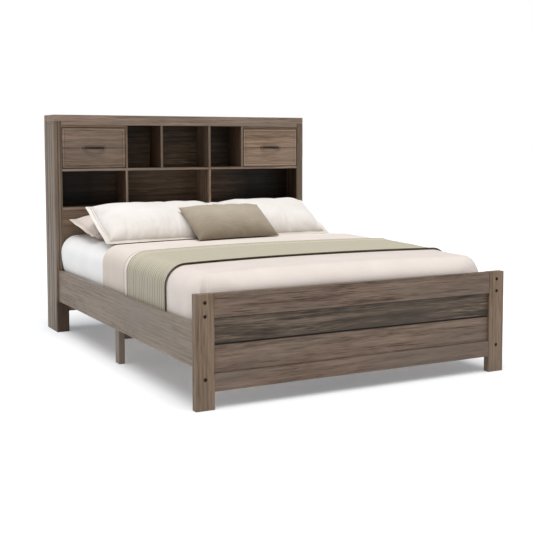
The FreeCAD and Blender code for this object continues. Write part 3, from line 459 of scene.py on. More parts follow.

# %% [markdown]
# The table below says which way the grain runs in each board and which tone it has. Long boards run
# along their length, posts and uprights stand, and the footboard's upper plank came out darker and
# greyer than its neighbours. What stands inside the cubbies gets painted shade, almost black at the sides.

# %% Give every board its finish
boards = {
    # the grain's axis, the tone, the shift that makes it its own board, and the contrast
    "headboard_cap": ("x", "cap", 1.3, 1.1), "headboard_top_panel": ("x", "cap", 2.1, 1.0),
    "headboard_gable_left": ("z", "side", 3.7, 0.8), "headboard_gable_right": ("z", "side", 4.4, 0.8),
    "headboard_post_left": ("z", "post", 5.2, 1.0), "headboard_post_right": ("z", "post", 6.9, 1.0),
    "headboard_middle_shelf": ("x", "cap", 7.5, 1.0), "headboard_lower_shelf": ("x", "cap", 8.1, 1.0),
    "headboard_back_panel": ("x", "inside", 9.6, 1.05), "headboard_lower_panel": ("x", "leg", 10.2, 1.0),
    "headboard_cross_rail": ("x", "leg", 11.4, 1.0), "drawer_kicker_rails": ("x", "leg", 12.7, 1.0),
    "upper_divider_1": ("z", "post", 13.1, 1.0), "upper_divider_2": ("z", "post", 14.8, 1.3),
    "upper_divider_3": ("z", "post", 15.5, 1.3), "upper_divider_4": ("z", "post", 16.3, 1.0),
    "lower_divider_left": ("z", "cap", 17.9, 1.1), "lower_divider_right": ("z", "drawer_right", 18.2, 1.2),
    "drawer_left_front": ("x", "drawer_left", 19.4, 1.35),
    "drawer_right_front": ("x", "drawer_right", 20.6, 0.9),
    "side_rail_left": ("y", "side", 21.2, 0.8), "side_rail_right": ("y", "side", 22.5, 0.8),
    "centre_beam": ("y", "leg", 23.3, 1.0), "cross_beam": ("x", "leg", 24.9, 1.0),
    "mid_leg_left": ("z", "side", 25.1, 0.8), "mid_leg_right": ("z", "side", 26.8, 0.8),
    "centre_leg": ("z", "leg", 27.4, 1.0),
    "footboard_post_left": ("z", "post", 28.6, 1.0), "footboard_post_right": ("z", "post", 29.3, 1.0),
    "footboard_top_rail": ("x", "rail", 30.7, 1.2), "footboard_upper_plank": ("x", "plank", 31.5, 1.7),
    "footboard_lower_plank": ("x", "rail", 32.2, 1.2), "footboard_bottom_rail": ("x", "rail", 33.8, 1.0),
}
drawer_boxes = {name: [dict(zip("XYZ", corner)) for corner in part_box(name)]
                for name in ("drawer_left_front", "drawer_right_front")}
HANDLE_LINE = sum(corner["Z"] for corner in drawer_boxes["drawer_left_front"]) / 2
PLANKS_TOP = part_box("footboard_top_rail")[0].z
RAIL_TOP = 0.372
# painted shade in the grooves and open joints of these boards
grooves = {
    # the axis across the lines, where they are, what they start above, how dark and half how wide
    "headboard_post": ("X", (0.820, 0.803), RAIL_TOP, 0.5, 0.0032),
    "headboard_gable": ("Y", (0.995, 1.038, 1.096), 0.0, 1.0, 0.0032),
    "plank": ("Z", (0.279,), 0.0, 1.0, 0.0045), "top_rail": ("Z", (PLANKS_TOP,), 0.0, 0.8, 0.0045),
    "front": ("Z", (HANDLE_LINE,), 0.0, 0.45, 0.0028),
}
# how strongly these boards get painted shade inside the bookcase; other cased boards take 1
cased_by = {"lower_divider_right": 0.10, "upper_divider_3": 0.45, "upper_divider_4": 0.75}
# the height below which the headboard's legs get painted shade, under the rail
LEG_SHADE_TOP = 0.20
HEAD_RADIUS = 0.0055
BOLT_SPACING = 0.059
bolt_low, bolt_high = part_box("footboard_bolts")
bolt_heights = (bolt_high.z - HEAD_RADIUS, bolt_high.z - HEAD_RADIUS - BOLT_SPACING, bolt_low.z + HEAD_RADIUS)
# the middles of the bolt recesses, where the footboard posts get painted shade
bolt_spots = [(side * (bolt_high.x - HEAD_RADIUS), z) for side in (-1, 1) for z in bolt_heights]
for node_name, (grain, tone, shift, contrast) in boards.items():
    in_case = "divider" in node_name or node_name.startswith("headboard_") and tone != "inside"
    lines = [line for key, line in grooves.items() if key in node_name]
    give_finish(node_name, weathered_board(
        "stained_wood_" + node_name, grain, tone, shift, contrast,
        cased=cased_by.get(node_name, 1.0) if in_case else 0.0, lines=lines[0] if lines else None,
        border=drawer_boxes.get(node_name),
        shaded_below=LEG_SHADE_TOP if "headboard_post" in node_name else None,
        holes=bolt_spots if "footboard_post" in node_name else None))
print(len(boards), "boards have their finish")

# %% [markdown]
# ## Bare hardwood
#
# Drawer boxes, runners, cleats and slats are the parts nobody sees, so they are sealed but not stained.

# %% Pale wood finish
pale_boards = {
    "mattress_slats": "x", "slat_cleats": "y", "drawer_runners": "y",
    "drawer_left_side_outer": "y", "drawer_left_side_inner": "y", "drawer_left_back": "x",
    "drawer_left_bottom": "x", "drawer_right_side_outer": "y", "drawer_right_side_inner": "y",
    "drawer_right_back": "x", "drawer_right_bottom": "x",
}
for number, (node_name, grain) in enumerate(pale_boards.items()):
    sealed = weathered_board("sealed_hardwood_" + node_name, grain, "pale", 40.0 + 1.3 * number)
    give_finish(node_name, sealed)
print(len(pale_boards), "pale boards have their finish")

# %% [markdown]
# ## Metal fittings
#
# The bow handles and the footboard bolts are steel with a satin dark bronze finish, the hidden brackets
# are powder coated black and the screws are zinc plated. Paint over metal is not a metal to the eye, so
# the bronze keeps a little of a metal's reflection while the powder coat is a plain rough coat with a
# fine grit.

# %% Metal finishes
WEAR_SIZE = 0.025


def metal_finish(name, hex_value, metallic, roughness, grit_size, grit_depth):
    """A metal part's finish with a fine uneven surface of a given grit, in metres."""
    finish, tree, shader = new_finish(name)
    place = add_node(tree, "ShaderNodeTexCoord").outputs["Object"]
    grit = add_node(tree, "ShaderNodeTexNoise", {"Vector": place, "Scale": 1 / grit_size, "Detail": 2.0})
    wear = add_node(tree, "ShaderNodeTexNoise", {"Vector": place, "Scale": 1 / WEAR_SIZE, "Detail": 3.0})
    dull = add_node(tree, "ShaderNodeMapRange", {
        "Value": wear, "To Min": roughness - 0.08, "To Max": roughness + 0.08})
    relief = add_node(tree, "ShaderNodeBump", {"Height": grit, "Distance": grit_depth, "Strength": 0.5})
    set_inputs(tree, shader, {"Base Color": colour(hex_value), "Metallic": metallic, "Roughness": dull,
                              "Normal": relief})
    return finish


satin_bronze = metal_finish("satin_dark_bronze", "#241914", 0.25, 0.5, 0.002, 0.0001)
black_coat = metal_finish("black_powder_coat", "#151517", 0.0, 0.55, 0.0015, 0.0002)
zinc_plate = metal_finish("zinc_plated_steel", "#b9bcc0", 1.0, 0.35, 0.002, 0.0001)
fittings = {
    "drawer_left_handle": satin_bronze, "drawer_right_handle": satin_bronze,
    "footboard_bolts": satin_bronze, "footboard_nuts": zinc_plate, "bracket_screws": zinc_plate,
    "drawer_left_handle_screws": zinc_plate, "drawer_right_handle_screws": zinc_plate,
    "rail_brackets": black_coat, "beam_hangers": black_coat,
}
for node_name, finish in fittings.items():
    give_finish(node_name, finish)
print(len(fittings), "fittings have their finish")

# %% [markdown]
# ## Cloth
#
# All the bedding is woven. A cotton thread is a third of a millimetre thick, far too fine to show, so the
# weave is drawn as crossed threads a few millimetres apart and very faint. What shows more is the slow
# unevenness of cloth that has been folded and smoothed by hand, and the soft bright rim that loose
# fibres give it, which is the sheen. Where a pillow, the cushion or the duvet's band turns down by the
# bedding, little light gets in, and painted shade below a height darkens the cloth there, more than the
# soft studio light alone would.

# %% Woven cloth finish
MATTRESS_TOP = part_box("mattress")[1].z


def woven_cloth(name, light, dark, thread=0.0025, slub=0.15, weave_depth=0.0003, low=None):
    """Plain woven cloth between two hex colours, with its thread spacing in metres. Low gives painted
    shade: a height, half the height over which the colour turns there, and what it is multiplied by below."""
    finish, tree, shader = new_finish(name)
    place = add_node(tree, "ShaderNodeTexCoord").outputs["Object"]
    crossings = []
    for stretch in ((1.0, 0.08, 1.0), (0.08, 1.0, 0.08)):
        along = add_node(tree, "ShaderNodeMapping", {"Vector": place, "Scale": stretch})
        crossings.append(add_node(tree, "ShaderNodeTexNoise", {
            "Vector": along, "Scale": 1 / thread, "Detail": 2.0}))
    threads = add_node(tree, "ShaderNodeMath", {0: crossings[0], 1: crossings[1]}, operation="ADD")
    handled = add_node(tree, "ShaderNodeTexNoise", {"Vector": place, "Scale": 7.0, "Detail": 3.0})
    slow = add_node(tree, "ShaderNodeMath", {0: handled, 1: 1.0 - slub}, operation="MULTIPLY")
    uneven = add_node(tree, "ShaderNodeMath", {0: threads, 1: slub * 0.5, 2: slow},
                      operation="MULTIPLY_ADD")
    coloured = set_stops(add_node(tree, "ShaderNodeValToRGB", {"Fac": uneven}), [(0.3, dark), (0.7, light)])
    if low:
        height, soft, by = low
        parts = add_node(tree, "ShaderNodeSeparateXYZ", {"Vector": place})
        coloured = darken(tree, coloured, step_at(tree, parts.outputs["Z"], height, -1, soft), by)
    relief = add_node(tree, "ShaderNodeBump", {"Height": threads, "Distance": weave_depth, "Strength": 0.5})
    set_inputs(tree, shader, {"Base Color": coloured, "Normal": relief, "Roughness": 0.85,
                              "Specular IOR Level": 0.2, "Sheen Weight": 0.25, "Sheen Roughness": 0.5})
    return finish


cotton_sheet = woven_cloth("white_cotton_sheet", "#f2f2f1", "#ebebea")
cream_cotton = woven_cloth("cream_cotton_duvet", "#dfd5ce", "#d8cdc5")
# painted shade on the lower part of the white cases, where they turn under
white_case = woven_cloth("white_cotton_pillowcase", "#e6e2de", "#dcd6d0",
                         low=(MATTRESS_TOP + 0.045, 0.038, (0.82, 0.79, 0.74, 1.0)))
beige_case = woven_cloth("beige_cotton_pillowcase", "#d9cec5", "#cfc3b9")
# a stitch line darkened further with painted shade of the seam
stitched_hem_and_seam_shade = woven_cloth("stitched_hem_with_painted_seam_shade", "#c6bdb4", "#b5aba1")
# painted shade on the lower part of the lumbar cushion
taupe_linen = woven_cloth("taupe_linen", "#b6ab99", "#998d7b", thread=0.004, slub=0.6, weave_depth=0.0008,
                          low=(MATTRESS_TOP + 0.085, 0.080, (0.52, 0.47, 0.42, 1.0)))
foam_cover = woven_cloth("mattress_ticking", "#ece9e2", "#e2ded5", thread=0.003)
print("cloth finishes are ready")

# %% [markdown]
# ## The shape of the made-up bed
#
# Seen from its foot, the bedding is one long loaf. Its sides stand nearly upright between the rails, its
# shoulders are round, its top is a shallow crown, and at the foot it rounds over and down behind the
# footboard. Cutting the loaf across at many places and skinning the cuts is a loft, and one loft with
# slightly different sizes makes the mattress, its fitted sheet, the duvet and the throw, so each layer
# lies snugly on the one below.

# %% Sizes of the loaf
SLAT_TOP = 0.299
MATTRESS_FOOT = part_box("mattress")[0].y
MATTRESS_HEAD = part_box("mattress")[1].y
MATTRESS_HALF = 0.792
MATTRESS_DEPTH = 0.291
DUVET_SIDE = 0.007
DUVET_TOP = 0.010
DUVET_FOOT = MATTRESS_FOOT - DUVET_SIDE
DUVET_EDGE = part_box("duvet")[1].y
# how round the loaf is along its shoulders and over its foot, how far its foot corners are rounded as
# seen from above, how much its top sinks towards the foot, and over what length its head end rounds off
SHOULDER = 0.33 * MATTRESS_DEPTH
FOOT_ROUND = 0.31 * MATTRESS_DEPTH
FOOT_CORNER = 0.155
FOOT_DROP = 0.020
HEAD_ROUND = 0.024


def clamp(share):
    """A share, kept from 0 to 1."""
    return min(max(share, 0.0), 1.0)


def loaf_sizes(y, foot, half, crown, top):
    """Half width, swell, hip height, crown and top of the loaf at a place along the bed."""
    back = min(max(y - foot, 0.0), FOOT_CORNER)
    narrow = FOOT_CORNER - math.sqrt(FOOT_CORNER ** 2 - (FOOT_CORNER - back) ** 2)
    over = max(FOOT_ROUND - back, 0.0)
    drop = FOOT_ROUND - math.sqrt(FOOT_ROUND ** 2 - over ** 2)
    if y < 0:
        drop += FOOT_DROP * (1 - (y - foot) / -foot)
    return half - narrow, 0.001, SLAT_TOP + 0.029, crown, top - drop


def mattress_sizes(y):
    """The mattress swells out over the rails towards its head."""
    half, swell, hip, crown, top = loaf_sizes(y, MATTRESS_FOOT, MATTRESS_HALF, 0.008, MATTRESS_TOP)
    eased = MATTRESS_HEAD - HEAD_ROUND
    share = clamp((y - DUVET_EDGE) / (eased - DUVET_EDGE))
    half += DUVET_SIDE * share
    swell += 0.016 * share
    crown -= 0.001 * share
    hip = RAIL_TOP * share + hip * (1 - share)
    last = max((y - eased) / HEAD_ROUND, 0.0)
    return half - 0.012 * last ** 2, swell, hip, crown, top - 0.008 * last ** 2


def duvet_sizes(y):
    """The duvet is the mattress's loaf again, a little larger all round."""
    return loaf_sizes(y, DUVET_FOOT, MATTRESS_HALF + DUVET_SIDE, 0.010, MATTRESS_TOP + DUVET_TOP)


print("duvet starts at", round(DUVET_FOOT, 3), "and ends at", round(DUVET_EDGE, 3))

# %% Points of one cut
SIDE_POINTS, SHOULDER_POINTS, TOP_POINTS = 10, 14, 28


def half_cut(sizes, low, grow=0.0):
    """Points of the right half of one cut, from its lower edge up the side and over to the middle."""
    half, swell, hip, crown, top = sizes
    half, top = half + grow, top + grow
    wide, ledge = half + swell, top - crown
    points = [(half, low + (hip - low) * step / 3) for step in range(3)] if hip > low else []
    start = max(hip, low)
    for step in range(SIDE_POINTS):
        share = step / SIDE_POINTS
        height = start + (ledge - SHOULDER - start) * share
        points.append((half + swell * (1 - (1 - share) ** 2), height))
    for step in range(SHOULDER_POINTS):
        angle = math.pi / 2 * step / SHOULDER_POINTS
        points.append((wide - SHOULDER + SHOULDER * math.cos(angle),
                       ledge - SHOULDER + SHOULDER * math.sin(angle)))
    flat = wide - SHOULDER
    for step in range(TOP_POINTS + 1):
        x = flat * (1 - step / TOP_POINTS)
        points.append((x, ledge + crown * (1 - (x / flat) ** 2)))
    return points


def whole_cut(sizes, low, grow=0.0):
    """Points of one cut from its left lower edge over the top to its right one."""
    right = half_cut(sizes, low, grow)
    left = [(-x, z) for x, z in right[:-1]]
    return left + right[::-1]


def rows_along(foot, end, step=0.012, close_at=()):
    """Places along the bed: close together where the foot rounds and at edges, else evenly spaced."""
    rounded = [foot + FOOT_CORNER * (1 - math.cos(math.radians(a))) for a in range(0, 90, 2)]
    first = foot + FOOT_CORNER
    count = max(2, round((end - first) / step))
    even = [first + (end - first) * i / count for i in range(count + 1)]
    close = [y + d for y in close_at for d in (-0.012, -0.008, -0.005, -0.002, 0.0, 0.0015, 0.004)]
    return sorted(y for y in rounded + even + close if y <= end)


print("one cut has", len(whole_cut(duvet_sizes(0.0), RAIL_TOP)), "points")

# %% [markdown]
# Small folds are what tell cloth from plastic. They are made by moving each point out or in by a little
# noise. Slow noise gives the unevenness of a hand-smoothed top, and noise that is squeezed along one
# direction gives creases. A closed sheet of points is then given a thickness, as real cloth has.

# %% Mesh helpers
def new_piece(name, vertices, faces, finish):
    """A smooth mesh object from points and faces, with one finish."""
    mesh = bpy.data.meshes.new(name)
    mesh.from_pydata([tuple(v) for v in vertices], [], faces)
    mesh.validate()
    mesh.update()
    mesh.materials.append(finish)
    mesh.polygons.foreach_set("use_smooth", [True] * len(mesh.polygons))
    piece = bpy.data.objects.new(name, mesh)
    bpy.context.scene.collection.objects.link(piece)
    return piece


def keep_modifiers(piece):
    """Turns what the modifiers make into the piece's own mesh."""
    made = bpy.data.meshes.new_from_object(
        piece.evaluated_get(bpy.context.evaluated_depsgraph_get()))
    old = piece.data
    piece.modifiers.clear()
    piece.data = made
    bpy.data.meshes.remove(old)
    return piece


def thicken(piece, thickness):
    """Gives a sheet of points the thickness of its cloth, on the inside."""
    solid = piece.modifiers.new("cloth_thickness", "SOLIDIFY")
    solid.thickness = thickness
    solid.offset = -1.0
    solid.use_even_offset = True
    return keep_modifiers(piece)


def skin(rows, closed=False):
    """Faces between rows that each have the same number of points."""
    width = len(rows[0])
    points = [point for row in rows for point in row]
    faces = []
    for r in range(len(rows) - 1):
        for c in range(width - 1 + closed):
            a, b = r * width + c, r * width + (c + 1) % width
            faces.append((a, b, b + width, a + width))
    return points, faces


def ripple(place, stretch, seed):
    """Smooth noise from -1 to 1 at a place, squeezed by a stretch for each axis."""
    x, y, z = place
    return noise.noise(Vector((x * stretch[0] + seed, y * stretch[1] - seed, z * stretch[2])))


def ridge(distance, width):
    """1 on a line, fading to 0 on both sides of it within about twice a width."""
    return math.exp(-(distance / width) ** 2)


print("mesh helpers are ready")

# %% [markdown]
# ## Mattress and fitted sheet
#
# The mattress is a closed loaf. Its fitted sheet is a separate thin skin pulled tight over it. Near the
# head it bulges a little over the rail, because nothing holds it in there. A few shallow puckers rise
# from the rail where the elastic pulls.

# %% Mattress
# how far the far side leans in at the foot, and the height above the rail over which the lean sets in
ASKEW, ASKEW_RISE = 0.034, 0.14


def loft(sizes_at, places, low, grow=0.0, raise_by=None):
    """Rows of 3-D points for the loaf, each moved outwards by what raise_by gives, if anything. Above the
    rail, the far side leans in towards the foot, where the bed was made up a little askew."""
    rows = []
    for y in places:
        cut = whole_cut(sizes_at(y), low, grow)
        row = []
        for i, (x, z) in enumerate(cut):
            before, after = cut[max(i - 1, 0)], cut[min(i + 1, len(cut) - 1)]
            out = Vector((-(after[1] - before[1]), 0.0, after[0] - before[0])).normalized()
            slack = ASKEW * max(x, 0.0) / 0.8 * clamp(0.1 - y) * clamp((z - RAIL_TOP) / ASKEW_RISE)
            point = Vector((x - slack, y, z))
            row.append(point + out * (raise_by(point, out) if raise_by else 0.0))
        rows.append(row)
    return rows


mattress_rows = loft(mattress_sizes, rows_along(MATTRESS_FOOT, MATTRESS_HEAD - 0.004, 0.03),
                     SLAT_TOP + 0.001, grow=-0.004)
points, faces = skin(mattress_rows, closed=True)
width = len(mattress_rows[0])
faces.append(tuple(range(width))[::-1])
faces.append(tuple(range(len(points) - width, len(points))))
mattress_core = new_piece("mattress_core", points, faces, foam_cover)
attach(mattress_core, "frame")
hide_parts("mattress")
print("mattress core has", len(points), "points")


# %% Fitted sheet
def sheet_puckers(point, out):
    """Shallow upright puckers on the side, and a slow unevenness on the top."""
    side = max(0.0, 1.0 - out.z ** 2)
    rising = side * 0.0018 * ripple(point, (0.0, 16.0, 1.5), 3.0)
    return rising + 0.0012 * ripple(point, (3.0, 3.0, 3.0), 11.0)


SHEET_LOW = SLAT_TOP + 0.003
sheet_rows = loft(mattress_sizes, rows_along(MATTRESS_FOOT, MATTRESS_HEAD - 0.0005), SHEET_LOW,
                  grow=-0.0005, raise_by=sheet_puckers)
foot_wall = [Vector((p.x, p.y - 0.001, SHEET_LOW)) for p in sheet_rows[0]]
points, faces = skin([foot_wall] + sheet_rows)
fitted_sheet = thicken(new_piece("fitted_sheet", points, faces, cotton_sheet), 0.0012)
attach(fitted_sheet, "frame")
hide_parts("mattress")
print("fitted sheet has", len(fitted_sheet.data.vertices), "points")

# %% [markdown]
# ## Duvet
#
# The duvet is thin and smooth. It lies from the foot to in front of the pillows and is tucked down
# between the mattress and the rails. Just before the throw, a piped edge crosses it: the cover below the
# edge lies over a plain band above it, so the surface steps up there by the cover's thickness. The band
# is slightly darker where painted shade lies on its sides. At each corner of the foot the spare cloth is
# pinched into one upright fold.

# %% Duvet
COVER_EDGE = -0.172
DUVET_LOW = RAIL_TOP - 0.030
BAND_SHADE_TOP = 0.560
# the corner fold: where it stands, in degrees round the foot corner, how wide it is and where it starts
FOLD_TURN, FOLD_WIDTH, FOLD_TOP = 42.0, 4.0, 0.585
# painted shade on the band's sides, below BAND_SHADE_TOP
beige_cotton = woven_cloth("beige_cotton_band", "#e6dcd4", "#dfd4cb",
                           low=(BAND_SHADE_TOP, 0.030, (0.82, 0.79, 0.75, 1.0)))


def corner_fold(point):
    """One upright pinched fold at each foot corner, with a crease on its foot side."""
    from_corner = Vector((abs(point.x) - (MATTRESS_HALF + DUVET_SIDE - FOOT_CORNER),
                          point.y - (DUVET_FOOT + FOOT_CORNER)))
    if from_corner.x <= 0 or from_corner.y >= 0:
        return 0.0
    turn = math.degrees(math.atan2(-from_corner.y, from_corner.x))
    off = (turn - FOLD_TURN) / FOLD_WIDTH
    return clamp((FOLD_TOP - point.z) / 0.045) * (0.012 * ridge(off, 1.0) - 0.013 * ridge(off - 1.4, 0.8))


def duvet_folds(point, out):
    """How far the duvet's face is from its outline: its creases, its rolled head edge and its cover."""
    side = max(0.0, 1.0 - out.z ** 2)
    hanging = side * 0.0016 * ripple(point, (0.0, 9.0, 1.0), 21.0)
    smoothed = 0.0022 * ripple(point, (1.1, 6.0, 2.0), 27.0) + 0.0012 * ripple(point, (2.0, 15.0, 2.0), 5.0)
    head_roll = -0.004 * max(0.0, 1.0 - (DUVET_EDGE - point.y) / 0.012) ** 2
    past = COVER_EDGE - point.y
    step = 0.003 * clamp(past / 0.002 + 0.5) + 0.0015 * ridge(past - 0.007, 0.005)
    return hanging + smoothed * (0.3 + 0.7 * out.z ** 2) + head_roll + step - 0.002 + corner_fold(point)


duvet_rows = loft(duvet_sizes, rows_along(DUVET_FOOT, DUVET_EDGE, 0.009, [COVER_EDGE]), DUVET_LOW,
                  raise_by=duvet_folds)
foot_wall = [Vector((p.x, p.y - 0.0005, DUVET_LOW)) for p in duvet_rows[0]]
points, faces = skin([foot_wall] + duvet_rows)
duvet = new_piece("duvet_cover", points, faces, cream_cotton)
duvet.data.materials.append(beige_cotton)
for face in duvet.data.polygons:
    face.material_index = int(face.center.y > COVER_EDGE)
thicken(duvet, 0.0055)
print("duvet has", len(duvet.data.vertices), "points")

# %% [markdown]
# The piping is a cord in a strip of cloth that is sewn along the edge. A round tube that follows one cut
# of the loft lies exactly in the step.

# %% Piping
TUBE_SIDES = 8


def tube(name, path, radius, finish):
    """A round tube along points that lie in one plane across the bed."""
    rings = []
    for i, point in enumerate(path):
        ahead = (path[min(i + 1, len(path) - 1)] - path[max(i - 1, 0)]).normalized()
        across = Vector((0.0, 1.0, 0.0))
        out = ahead.cross(across).normalized()
        rings.append([point + (out * math.cos(a) + across * math.sin(a)) * radius
                      for a in (2 * math.pi * k / TUBE_SIDES for k in range(TUBE_SIDES))])
    points, faces = skin(rings, closed=True)
    faces += [tuple(range(TUBE_SIDES))[::-1], tuple(range(len(points) - TUBE_SIDES, len(points)))]
    return new_piece(name, points, faces, finish)


# a real cord whose dark taupe also stands in for the shadow line in the step: painted shade
piping_cloth_dark_as_shade = woven_cloth("taupe_piping_with_painted_shade", "#7d6f61", "#6b5d50")
piping_path = loft(duvet_sizes, [COVER_EDGE + 0.0015], DUVET_LOW,
                   raise_by=lambda point, out: duvet_folds(point, out) + 0.0012)[0]
duvet_piping = tube("duvet_piping", piping_path, 0.0026, piping_cloth_dark_as_shade)
for piece in (duvet, duvet_piping):
    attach(piece, "frame")
    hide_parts("duvet")
print("piping runs over", len(piping_path), "points")

# %% [markdown]
# ## Throw
#
# The throw is a narrow blanket across the bed, woven with fine ribs along its length, so the ribs stand
# upright where it hangs over the side, and painted shade darkens it there. Its foot edge lifts a little
# off the duvet, which leaves a dark line under it, and a band of painted shade along that edge makes the
# line darker. Its head edge is a soft fold.

# %% Throw finish
RIB = 0.022
HANG_SHADE_TOP = 0.545
THROW_LOW, THROW_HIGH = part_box("throw")[0].y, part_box("throw")[1].y
throw_weave, tree, shader = new_finish("sage_ribbed_cotton")
place = add_node(tree, "ShaderNodeTexCoord").outputs["Object"]
# at a scale of 1, a wave node's bands are 2 pi / 20 apart
ribs = add_node(tree, "ShaderNodeTexWave", {
    "Vector": place, "Scale": 2 * math.pi / (20 * RIB), "Distortion": 0.6, "Detail": 2.0,
    "Detail Scale": 1.0}, bands_direction="Y")
fleck = add_node(tree, "ShaderNodeTexNoise", {"Vector": place, "Scale": 160.0, "Detail": 2.0})
height = add_node(tree, "ShaderNodeMath", {0: fleck, 1: 0.4, 2: ribs.outputs["Fac"]},
                  operation="MULTIPLY_ADD")
dyed = set_stops(add_node(tree, "ShaderNodeValToRGB", {"Fac": height}), [(0.1, "#8f8770"), (0.9, "#cac3ac")])
parts = add_node(tree, "ShaderNodeSeparateXYZ", {"Vector": place})
# painted shade on the throw's sides, below HANG_SHADE_TOP
hanging = step_at(tree, parts.outputs["Z"], HANG_SHADE_TOP, -1, 0.035)
coloured = darken(tree, dyed, hanging, (0.67, 0.65, 0.62, 1.0))
# a band of painted shade along the foot edge, darkening the line that its lift leaves
foot_edge_shade = add_node(tree, "ShaderNodeMapRange", {
    "Value": parts.outputs["Y"], "From Min": THROW_LOW + 0.003, "From Max": THROW_LOW + 0.006,
    "To Min": 1.0, "To Max": 0.0})
coloured = darken(tree, coloured, foot_edge_shade, (0.20, 0.14, 0.09, 1.0))
relief = add_node(tree, "ShaderNodeBump", {"Height": height, "Distance": 0.0015, "Strength": 0.5})
set_inputs(tree, shader, {"Base Color": coloured, "Normal": relief, "Roughness": 0.9, "Sheen Weight": 0.3})
print("ribs are", RIB * 1000, "mm apart")

# %% Throw
def throw_lie(point, out):
    """How far the throw's face is above the duvet's outline."""
    from_foot, from_head = point.y - THROW_LOW, THROW_HIGH - point.y
    lifted = 0.006 * max(0.0, 1.0 - from_foot / 0.035) ** 1.5
    fold = 0.0025 * ridge(from_head - 0.012, 0.009) - 0.003 * max(0.0, 1.0 - from_head / 0.006)
    hem = -0.0022 * ridge(from_head - 0.058, 0.006)
    loose = 0.0022 * ripple(point, (1.2, 14.0, 3.0), 31.0) + 0.0012 * ripple(point, (0.8, 30.0, 2.0), 37.0)
    return 0.0068 + lifted + fold + hem + loose


THROW_CUTS = 90
across_throw = [THROW_LOW + (THROW_HIGH - THROW_LOW) * i / THROW_CUTS for i in range(THROW_CUTS + 1)]
throw_rows = loft(duvet_sizes, across_throw, RAIL_TOP - 0.020, raise_by=throw_lie)
points, faces = skin(throw_rows)
throw = thicken(new_piece("throw_blanket", points, faces, throw_weave), 0.0035)
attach(throw, "frame")
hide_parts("throw")
print("throw has", len(throw.data.vertices), "points")

# %% [markdown]
# ## Pillows
#
# A pillowcase is two panels sewn together round their edge. When it is filled, the middle rises, the
# corners stay as points and small puckers gather along the seam. The puckers are hard to draw by hand,
# so the cases are really blown up here with a cloth simulation. Two flat panels would draw their sides
# in too far, like a foil balloon, so each case starts as a slightly smaller pillow whose cloth is
# already rounded, and the filling only stretches and crumples it. The flat flange that stands out
# round the seam is sewn on after.

# %% Sew two panels
CLOTH_CELL = 0.0105


def sewn_panels(name, width, depth, thickness, boxy, finish):
    """Two rounded panels that share their edge, with a little unevenness that the filling picks up."""
    nx, ny = round(width / CLOTH_CELL), round(depth / CLOTH_CELL)
    top, under, vertices, faces = {}, {}, [], []
    for j in range(ny + 1):
        for i in range(nx + 1):
            u, v = 2 * i / nx - 1, 2 * j / ny - 1
            rise = thickness / 2 * ((1 - abs(u) ** boxy) * (1 - abs(v) ** 3.2)) ** 0.60
            rise *= 1 + 0.10 * noise.noise(Vector((u * 4, v * 3, width * 9)))
            draw = 0.016 * (1 - v ** 2), 0.020 * (1 - u ** 2)
            spot = (u * width / 2 * (1 - draw[0]), v * depth / 2 * (1 - draw[1]))
            top[i, j] = len(vertices)
            vertices.append((*spot, rise))
            if 0 < i < nx and 0 < j < ny:
                under[i, j] = len(vertices)
                vertices.append((*spot, -rise))
            else:
                under[i, j] = top[i, j]
    for j in range(ny):
        for i in range(nx):
            ring = [(i, j), (i + 1, j), (i + 1, j + 1), (i, j + 1)]
            faces.append([top[key] for key in ring])
            faces.append([under[key] for key in ring[::-1]])
    seam = [(i, 0) for i in range(nx)] + [(nx, j) for j in range(ny)] + \
           [(i, ny) for i in range(nx, 0, -1)] + [(0, j) for j in range(ny, 0, -1)]
    piece = new_piece(name, vertices, faces, finish)
    return piece, [top[key] for key in seam]


print("cloth cells are", CLOTH_CELL * 1000, "mm wide")

# %% Fill them
FILLING_FRAMES = 20


def fill_with_cloth(pieces, seams, fullness, stiffness):
    """Blows up each piece by a share of its volume, and keeps the shape that the cloth takes."""
    for name, piece in pieces.items():
        shape = bmesh.new()
        shape.from_mesh(piece.data)
        volume = abs(shape.calc_volume())
        shape.free()
        held = piece.vertex_groups.new(name="seam")
        held.add(seams[name], 0.35, "REPLACE")
        cloth = piece.modifiers.new("filling", "CLOTH")
        for setting, value in {
                "quality": 6, "mass": 0.2, "tension_stiffness": 20.0, "compression_stiffness": 20.0,
                "shear_stiffness": 6.0, "bending_stiffness": stiffness[name], "air_damping": 2.0,
                "vertex_group_mass": "seam", "pin_stiffness": 0.6, "use_pressure": True,
                "uniform_pressure_force": 8.0, "use_pressure_volume": True,
                "target_volume": volume * fullness[name]}.items():
            setattr(cloth.settings, setting, value)
        cloth.settings.effector_weights.gravity = 0.0
        cloth.point_cache.frame_start = 1
        cloth.point_cache.frame_end = FILLING_FRAMES
    for number in range(1, FILLING_FRAMES + 1):
        bpy.context.scene.frame_set(number)
    for piece in pieces.values():
        keep_modifiers(piece)
    bpy.context.scene.frame_set(1)


print("filling takes", FILLING_FRAMES, "frames")


